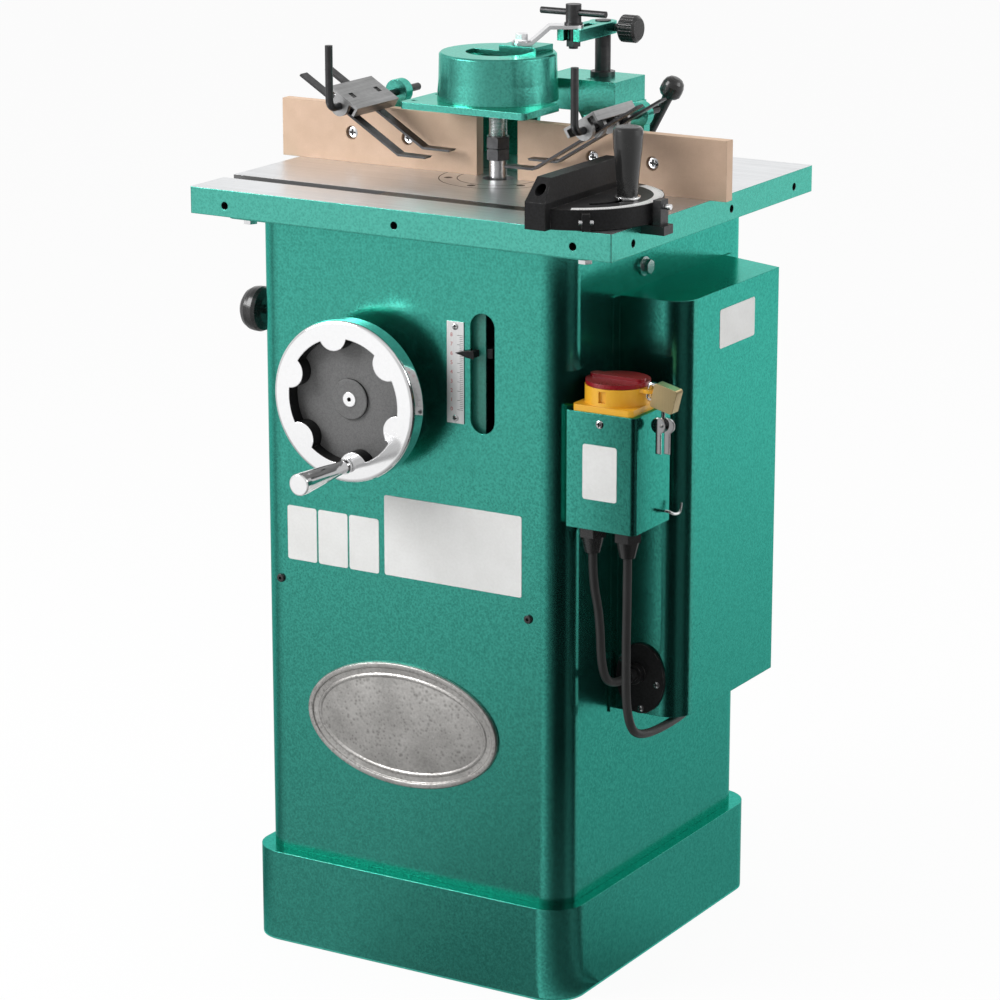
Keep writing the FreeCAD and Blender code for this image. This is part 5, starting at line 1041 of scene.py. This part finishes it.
@dataclass
class LiftGear(SubAssembly):
    """The ways, carriage, gears and drive inside the cabinet, and the spindle through the table."""

    spindle_y: float = -17.0
    thread_radius: float = 9.55
    thread_deep: float = 0.4
    thread_low: float = 897.6
    thread_high: float = 917.5
    thread_pitch: float = 1.5
    pulley_high: float = 670.0
    arm_from: float = 62.0

    looks = {BARE_CASTING: ("slide_column", "carriage", "motor_pulley"),
             BRONZE: ("carriage_bushes", "shaft_bushing"),
             STEEL: ("lift_screw", "bevel_gear", "bevel_pinion", "spindle"), OXIDE: ("spindle_nuts",),
             MOTOR_PAINT: ("motor", "motor_plate"), RUBBER: ("drive_belt",)}

    def patches(self) -> Patches:
        """Gives the carriage's black arm and the spindle's cast pulley."""
        return (("carriage", BLACK_CASTING, lambda middle, normal: middle.x > self.arm_from),
                ("spindle", BARE_CASTING, lambda middle, normal: middle.z < self.pulley_high))

    def add(self) -> None:
        """Adds the thread of the spindle's top as stacked ridges."""
        root, crest = self.thread_radius - self.thread_deep, self.thread_radius + self.thread_deep
        profile = [(root, self.thread_low)]
        for i in range(int((self.thread_high - self.thread_low) / self.thread_pitch)):
            foot = self.thread_low + i * self.thread_pitch
            profile += [(self.thread_radius, foot), (crest, foot + self.thread_pitch / 2)]
        profile += [(self.thread_radius, self.thread_high), (root, self.thread_high)]
        rings = oval_rings([(radius, radius, high) for radius, high in profile], steps=40)
        spot = Face.TOP.at((0.0, self.spindle_y, 0.0))
        mesh_piece("spindle_thread", *ring_mesh(rings), Seat(spot, STEEL, "spindle"))


@dataclass
class Handwheel(SubAssembly):
    """The handwheel with its crank, and the lock knob on the left wall."""

    axle: Pair = (-48.0, 645.0)
    rim_inside: float = 82.0
    hub_radius: float = 23.0
    centre_hole: float = 2.6
    wall_slant: float = 0.35

    looks = {CHROME: ("handwheel_rim", "crank_handle", "handwheel_shaft"), GREY_WEB: ("handwheel_web",),
             BLACK_PLASTIC: ("lock_knob",)}

    def patches(self) -> Patches:
        """Gives the unpolished walls inside the rim, and the hub's wall and the shaft's centre hole, darkened
        as painted shade.
        """
        return (("handwheel_rim", BLACK_CASTING, self.wall_within(self.rim_inside)),
                # The hub's wall and the centre hole take dark finishes as painted shade.
                ("handwheel_shaft", BORE_SHADE, self.wall_within(self.centre_hole)),
                ("handwheel_web", BLACK_CASTING, self.wall_within(self.hub_radius)))

    def wall_within(self, reach: float) -> FaceTest:
        """Gives a test for the faces that stand round the axle within a reach from it."""
        x, z = self.axle
        return lambda middle, normal: (abs(normal.y) < self.wall_slant
                                       and math.hypot(middle.x - x, middle.z - z) < reach)


@dataclass
class Fence(SubAssembly):
    """The fence casting with its boards, their screws, the guard post and the lock lever."""

    screw_places: Pair = (116.5, 189.5)
    screw_z: float = 884.0
    head_seat: float = -13.0

    looks = {GREEN_CASTING: ("fence_casting",), OXIDE: ("guard_post",), MDF: ("left_board", "right_board"),
             ZINC: ("left_screws", "right_screws"), BLACK_PLASTIC: ("fence_lock_lever",)}

    def add(self) -> None:
        """Adds the cross heads of the board screws."""
        for board, side in (("left_board", -1.0), ("right_board", 1.0)):
            spots = [Face.FRONT.at((side * x, self.head_seat, self.screw_z)) for x in self.screw_places]
            CrossHead(radius=6.6, dome=1.5).row(board + "_head", ZINC, spots, board)


class HoldDowns(SubAssembly):
    """The two finger hold-downs on their cranked rods."""

    looks = {OXIDE: ("left_hold_rod", "left_fingers", "right_hold_rod", "right_fingers"),
             CHANNEL_STEEL: ("left_channel", "right_channel")}


class Guard(SubAssembly):
    """The cutter guard with its hood, link, arm, tee handle and clamp knob."""

    looks = {GREEN_CASTING: ("guard_plate", "guard_hood", "guard_arm"), ZINC: ("guard_link",),
             OXIDE: ("guard_t_handle",), BLACK_PLASTIC: ("guard_knob",)}


@dataclass
class MitreGauge(SubAssembly):
    """The mitre gauge with its bar, swivelling head, quadrant scale and clamp handle."""

    pivot: Pair = (180.0, -156.0)
    quadrant_top: float = 873.0
    arc: Pair = (77.0, 87.2)
    arc_thick: float = 0.25
    sweep: float = 66.0
    mark_sweep: int = 60
    mark_step: int = 2
    mark_lengths: Pair = (3.0, 5.0)
    mark_border: float = 0.4
    mark_half: float = 0.15
    mark_level: float = 0.3
    washer_top: float = 876.6
    pin_turns: Pair = (-56.0, 56.0)
    pin_reach: float = 91.6
    pin_half: float = 8.0
    pin_height: float = 861.0
    pin_radius: float = 2.7
    stop_height: float = 869.8
    stop_reach: float = 60.0
    stop_radius: float = 3.1

    looks = {BLACK_CASTING: ("mitre_head",), OXIDE: ("mitre_bar",), BLACK_PLASTIC: ("mitre_handle",)}

    def patches(self) -> Patches:
        """Gives the handle's washer, the screws on the ears and the screw of the end stop."""
        return (("mitre_handle", CHROME, lambda middle, normal: middle.z < self.washer_top),
                ("mitre_head", ZINC, self.is_pin), ("mitre_bar", ZINC, self.is_stop_screw))

    def is_pin(self, middle: Vector, normal: Vector) -> bool:
        """Tells whether a face belongs to one of the two screws on the quadrant's ears.

        Args:
            middle: The face's middle, in millimetres.
            normal: The face's normal; not used.

        Returns:
            True for a face of a screw.
        """
        arm = middle - Vector((*self.pivot, self.pin_height))
        for turn in self.pin_turns:
            side = Matrix.Rotation(math.radians(-turn), 3, "Z") @ arm
            if abs(side.y) < self.pin_half and math.hypot(side.x - self.pin_reach, side.z) < self.pin_radius:
                return True
        return False

    def is_stop_screw(self, middle: Vector, normal: Vector) -> bool:
        """Tells whether a face of the bar belongs to the screw through its end stop."""
        near = math.hypot(middle.y - self.pivot[1], middle.z - self.stop_height) < self.stop_radius
        return near and middle.x > self.pivot[0] + self.stop_reach

    def add(self) -> None:
        """Adds the quadrant's white arc and its degree marks, with each tenth degree longer."""
        spot = Face.TOP.at((*self.pivot, self.quadrant_top))
        inner, outer = self.arc
        steps = 48
        turns = [math.radians(-self.sweep + 2 * self.sweep * i / steps) for i in range(steps + 1)]
        edge = [(outer * math.cos(turn), outer * math.sin(turn)) for turn in turns]
        edge += [(inner * math.cos(turn), inner * math.sin(turn)) for turn in reversed(turns)]
        rings = [[(x, y, high) for x, y in edge] for high in (0.0, self.arc_thick)]
        mesh_piece("mitre_arc", *ring_mesh(rings), Seat(spot, BLANK, "mitre_head"))
        short, long = self.mark_lengths
        marks = []
        for degree in range(-self.mark_sweep, self.mark_sweep + 1, self.mark_step):
            turn = Matrix.Rotation(math.radians(degree), 3, "Z")
            start = outer - (short if degree % 10 else long)
            mark = bar(start, outer - self.mark_border, 0.0, self.mark_half, self.mark_level)
            marks.append([tuple(turn @ Vector(corner)) for corner in mark])
        mark_piece("mitre_marks", marks, Seat(spot, INK_AND_SHADE, "mitre_head"))


@dataclass
class Studio:
    """The camera, world, floor and lamps, with the drape and dark cards that only reflections show.

    Sizes are in metres. Angles are in degrees, from the front towards the right.
    """

    camera_place: Point = (2.0221, -3.4049, 1.5749)
    camera_turn: Point = (74.6, 0.0, 30.8)
    lens: float = 132.46
    sensor: float = 36.0
    floor_half: float = 30.0
    floor_glow: float = 0.95
    floor_tone: float = 0.86
    sky: float = 0.36
    dome_rise: Pair = (0.52, 0.92)
    dome_top: float = 0.5
    drape_near: float = 0.15
    drape_far: float = 6.0
    drape_low: float = 0.002
    drape_tall: float = 5.0
    drape_reach: Pair = (0.36, 2.8)
    drape_glow: Pair = (0.52, 1.04)
    drape_tones: tuple[Pair, ...] = (
        (-180, 1.0), (-135, 0.95), (-118, 0.6), (-104, 0.78), (-82, 0.78), (-64, 0.42), (-46, 0.9),
        (-38, 1.0), (-24, 1.0), (-12, 0.75), (4, 0.6), (18, 0.55), (66, 0.55), (80, 0.7), (96, 0.85),
        (112, 1.0), (180, 1.0))
    flag_foot: Pair = (0.2, -0.15)
    flag_low: float = 0.003
    flag_reach: float = 0.22
    flag_tall: float = 0.77
    flag_lift: float = 0.11
    flag_lift_top: float = 0.2
    flag_tones: tuple[Pair, ...] = (
        (-22, 0.9), (-12, 0.5), (2, 0.2), (16, 0.05), (28, 0.0), (62, 0.0), (76, 0.09), (98, 0.09),
        (110, 0.0), (128, 0.02))
    screen_x: Pair = (0.196, 0.268)
    screen_y: Pair = (-0.206, -0.12)
    screen_z: Point = (0.531, 0.657, 0.692)
    panel_middle: Pair = (0.534, 0.53)
    panel_turn: float = 149.2
    panel_half: float = 0.17
    panel_z: Pair = (0.86, 0.985)
    panel_tone: float = 0.08
    lamp_aim: Point = (0.0, 0.0, 0.55)

    def build(self) -> None:
        """Builds the whole studio."""
        bpy.context.scene.view_settings.view_transform = "Standard"
        self.build_camera()
        self.build_world()
        self.build_floor()
        self.build_drape()
        self.build_flag()
        self.build_screen()
        self.build_panel()
        self.build_lamp("key_lamp", (-1.4, -1.5, 1.8), size=1.2, power=40.0)
        self.build_lamp("side_lamp", (3.9, 0.9, 2.3), size=2.4, power=52.0)
        self.build_lamp("top_lamp", (-0.4, 0.6, 3.6), size=2.6, power=45.0, mirrored=False)

    def build_camera(self) -> None:
        """Sets the camera where the photograph was taken from."""
        data = bpy.data.cameras.new("studio_camera")
        data.sensor_width = self.sensor
        data.lens = self.lens
        camera = bpy.data.objects.new("studio_camera", data)
        camera.location = self.camera_place
        camera.rotation_euler = tuple(math.radians(turn) for turn in self.camera_turn)
        bpy.context.scene.collection.objects.link(camera)
        bpy.context.scene.camera = camera

    @staticmethod
    def seen(desk: NodeDesk) -> Socket:
        """Gives 1 for rays that see the background straight, in a gloss or through glass.

        Args:
            desk: The desk of the background's material.

        Returns:
            The value's socket.
        """
        path = desk.add("ShaderNodeLightPath").outputs
        gloss = desk.math("MAXIMUM", path["Is Camera Ray"], path["Is Glossy Ray"])
        return desk.math("MAXIMUM", gloss, path["Is Transmission Ray"])

    def build_world(self) -> None:
        """Lights the room evenly and shows it white, greyer overhead."""
        world = bpy.data.worlds.new("studio_world")
        bpy.context.scene.world = world
        world.use_nodes = True
        world.node_tree.nodes.clear()
        desk = NodeDesk(world.node_tree)
        white = (1.0, 1.0, 1.0, 1.0)
        light = desk.add("ShaderNodeBackground", {"Color": white, "Strength": self.sky})
        way = desk.add("ShaderNodeSeparateXYZ", {0: desk.add("ShaderNodeTexCoord").outputs["Generated"]})
        glow = desk.spread(way.outputs["Z"], *self.dome_rise, 1.0, self.dome_top)
        shown = desk.add("ShaderNodeBackground", {"Color": white, "Strength": glow})
        both = desk.add("ShaderNodeMixShader", {0: self.seen(desk), 1: light.outputs[0], 2: shown.outputs[0]})
        desk.add("ShaderNodeOutputWorld", {"Surface": both.outputs[0]})

    def build_card(self, name: str, points: Iterable[Sequence[float]], faces: Iterable[Sequence[int]],
                   mirrored_only: bool = True) -> NodeDesk:
        """Makes a stage card with an empty material.

        Args:
            name: The card's name.
            points: Its corners, in metres.
            faces: Its faces as point numbers.
            mirrored_only: Whether it shows only in reflections.

        Returns:
            The desk of its material.
        """
        mesh = bpy.data.meshes.new(name)
        mesh.from_pydata(list(points), [], list(faces))
        card = bpy.data.objects.new(name, mesh)
        bpy.context.scene.collection.objects.link(card)
        felt = bpy.data.materials.new(name)
        felt.use_nodes = True
        felt.node_tree.nodes.clear()
        mesh.materials.append(felt)
        if mirrored_only:
            card.visible_camera = False
            card.visible_diffuse = False
            card.visible_shadow = False
            card.visible_transmission = False
        return NodeDesk(felt.node_tree)

    @staticmethod
    def show(desk: NodeDesk, shader: bpy.types.Node) -> None:
        """Makes a shader the surface of a card."""
        desk.add("ShaderNodeOutputMaterial", {"Surface": shader.outputs[0]})

    def build_floor(self) -> None:
        """Lays the pale floor, which glows for the camera and keeps the shadow."""
        half, tone = self.floor_half, self.floor_tone
        corners = [(-half, -half, 0.0), (half, -half, 0.0), (half, half, 0.0), (-half, half, 0.0)]
        desk = self.build_card("studio_floor", corners, [(0, 1, 2, 3)], mirrored_only=False)
        pale = desk.add("ShaderNodeBsdfDiffuse", {"Color": (tone, tone, tone, 1.0)})
        glow = desk.add("ShaderNodeEmission", {"Strength": 1.0})
        share = desk.math("MULTIPLY", self.seen(desk), self.floor_glow)
        self.show(desk, desk.add("ShaderNodeMixShader", {0: share, 1: pale.outputs[0], 2: glow.outputs[0]}))

    @staticmethod
    def tone_round(desk: NodeDesk, spot: Sockets, foot: Pair, tones: Sequence[Pair]) -> Socket:
        """Gives the grey tone that belongs to the way a point lies from a foot point.

        Args:
            desk: The card's desk.
            spot: The point's X, Y and Z sockets.
            foot: Where the angles are measured from.
            tones: Angles with their tones.

        Returns:
            The tone's socket.
        """
        across = desk.math("SUBTRACT", spot["X"], foot[0])
        along = desk.math("SUBTRACT", foot[1], spot["Y"])
        turn = desk.math("ARCTAN2", across, along)
        ramp = desk.add("ShaderNodeValToRGB", {0: desk.spread(turn, -math.pi, math.pi)})
        stops = ramp.color_ramp.elements
        while len(stops) < len(tones):
            stops.new(0.5)
        for stop, (angle, tone) in zip(stops, tones):
            stop.position = (angle + 180.0) / 360.0
            stop.color = (tone, tone, tone, 1.0)
        return ramp.outputs[0]

    def build_drape(self) -> None:
        """Hangs a graded drape round the machine, darker near it and by the camera."""
        rows = ((self.drape_near, self.drape_low), (self.drape_far, self.drape_low),
                (self.drape_far, self.drape_tall))
        rings = oval_rings([(reach, reach, high) for reach, high in rows], steps=96)
        desk = self.build_card("studio_drape", *ring_mesh(rings, capped=False))
        place = desk.place()
        spot = desk.add("ShaderNodeSeparateXYZ", {0: place}).outputs
        tone = self.tone_round(desk, spot, (0.0, 0.0), self.drape_tones)
        reach = desk.add("ShaderNodeVectorMath", {0: place}, operation="LENGTH").outputs["Value"]
        glow = desk.spread(reach, *self.drape_reach, *self.drape_glow)
        self.show(desk, desk.add("ShaderNodeEmission", {"Color": tone, "Strength": glow}))

    def build_flag(self) -> None:
        """Stands a curved dark card off the right front corner, with a dark fan on the floor."""
        steps = 48
        first, last = math.radians(self.flag_tones[0][0]), math.radians(self.flag_tones[-1][0])
        foot = Vector((*self.flag_foot, self.flag_low))
        points = [foot]
        faces: Faces = []
        for i in range(steps + 1):
            turn = first + (last - first) * i / steps
            edge = foot + self.flag_reach * Vector((math.sin(turn), -math.cos(turn), 0.0))
            points += [edge, edge + Vector((0.0, 0.0, self.flag_tall))]
        for i in range(1, 2 * steps, 2):
            faces += [(0, i, i + 2), (i, i + 1, i + 3, i + 2)]
        desk = self.build_card("studio_flag", points, faces)
        spot = desk.add("ShaderNodeSeparateXYZ", {0: desk.place()}).outputs
        tone = self.tone_round(desk, spot, self.flag_foot, self.flag_tones)
        lift = desk.spread(spot["Z"], self.flag_low, self.flag_lift_top, self.flag_lift, 0.0)
        self.show(desk, desk.add("ShaderNodeEmission", {"Strength": desk.math("ADD", tone, lift)}))

    def build_screen(self) -> None:
        """Stands a black card behind and beside the switch, so that the recess doesn't mirror it."""
        left, right = self.screen_x
        front, back = self.screen_y
        low, lid, top = self.screen_z
        points = [(left, front, lid), (left, back, lid), (left, back, top), (left, front, top),
                  (left, back, low), (right, back, low), (right, back, top)]
        desk = self.build_card("studio_screen", points, [(0, 1, 2, 3), (4, 5, 6, 2)])
        self.show(desk, desk.add("ShaderNodeEmission", {"Strength": 0.0}))

    def build_panel(self) -> None:
        """Stands a low dark card behind the right side, for the motor cover's top to mirror."""
        turn = math.radians(self.panel_turn)
        across = self.panel_half * Vector((math.cos(turn), math.sin(turn), 0.0))
        low, high = (Vector((*self.panel_middle, height)) for height in self.panel_z)
        corners = [low - across, low + across, high + across, high - across]
        desk = self.build_card("studio_panel", corners, [(0, 1, 2, 3)])
        self.show(desk, desk.add("ShaderNodeEmission", {"Strength": self.panel_tone}))

    def build_lamp(self, name: str, place: Point, size: float, power: float, mirrored: bool = True) -> None:
        """Hangs one soft lamp that faces the machine.

        Args:
            name: The lamp's name.
            place: Where it hangs.
            size: The width of its square face.
            power: Its power, in watts.
            mirrored: Whether it shows in reflections.
        """
        data = bpy.data.lights.new(name, "AREA")
        data.size = size
        data.energy = power
        lamp = bpy.data.objects.new(name, data)
        lamp.location = place
        lamp.rotation_euler = (Vector(self.lamp_aim) - Vector(place)).to_track_quat("-Z", "Y").to_euler()
        lamp.visible_glossy = mirrored
        bpy.context.scene.collection.objects.link(lamp)


def main() -> None:
    """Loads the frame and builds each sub-assembly in order."""
    logging.basicConfig(level=logging.INFO, format="%(name)s: %(message)s")
    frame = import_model()
    Studio().build()
    for part in (MotorSide(), Stand(), TableTop(), LiftGear(), Handwheel(), Fence(), HoldDowns(), Guard(),
                 MitreGauge()):
        part.build(frame["nodes"])


if __name__ == "__main__":
    main()
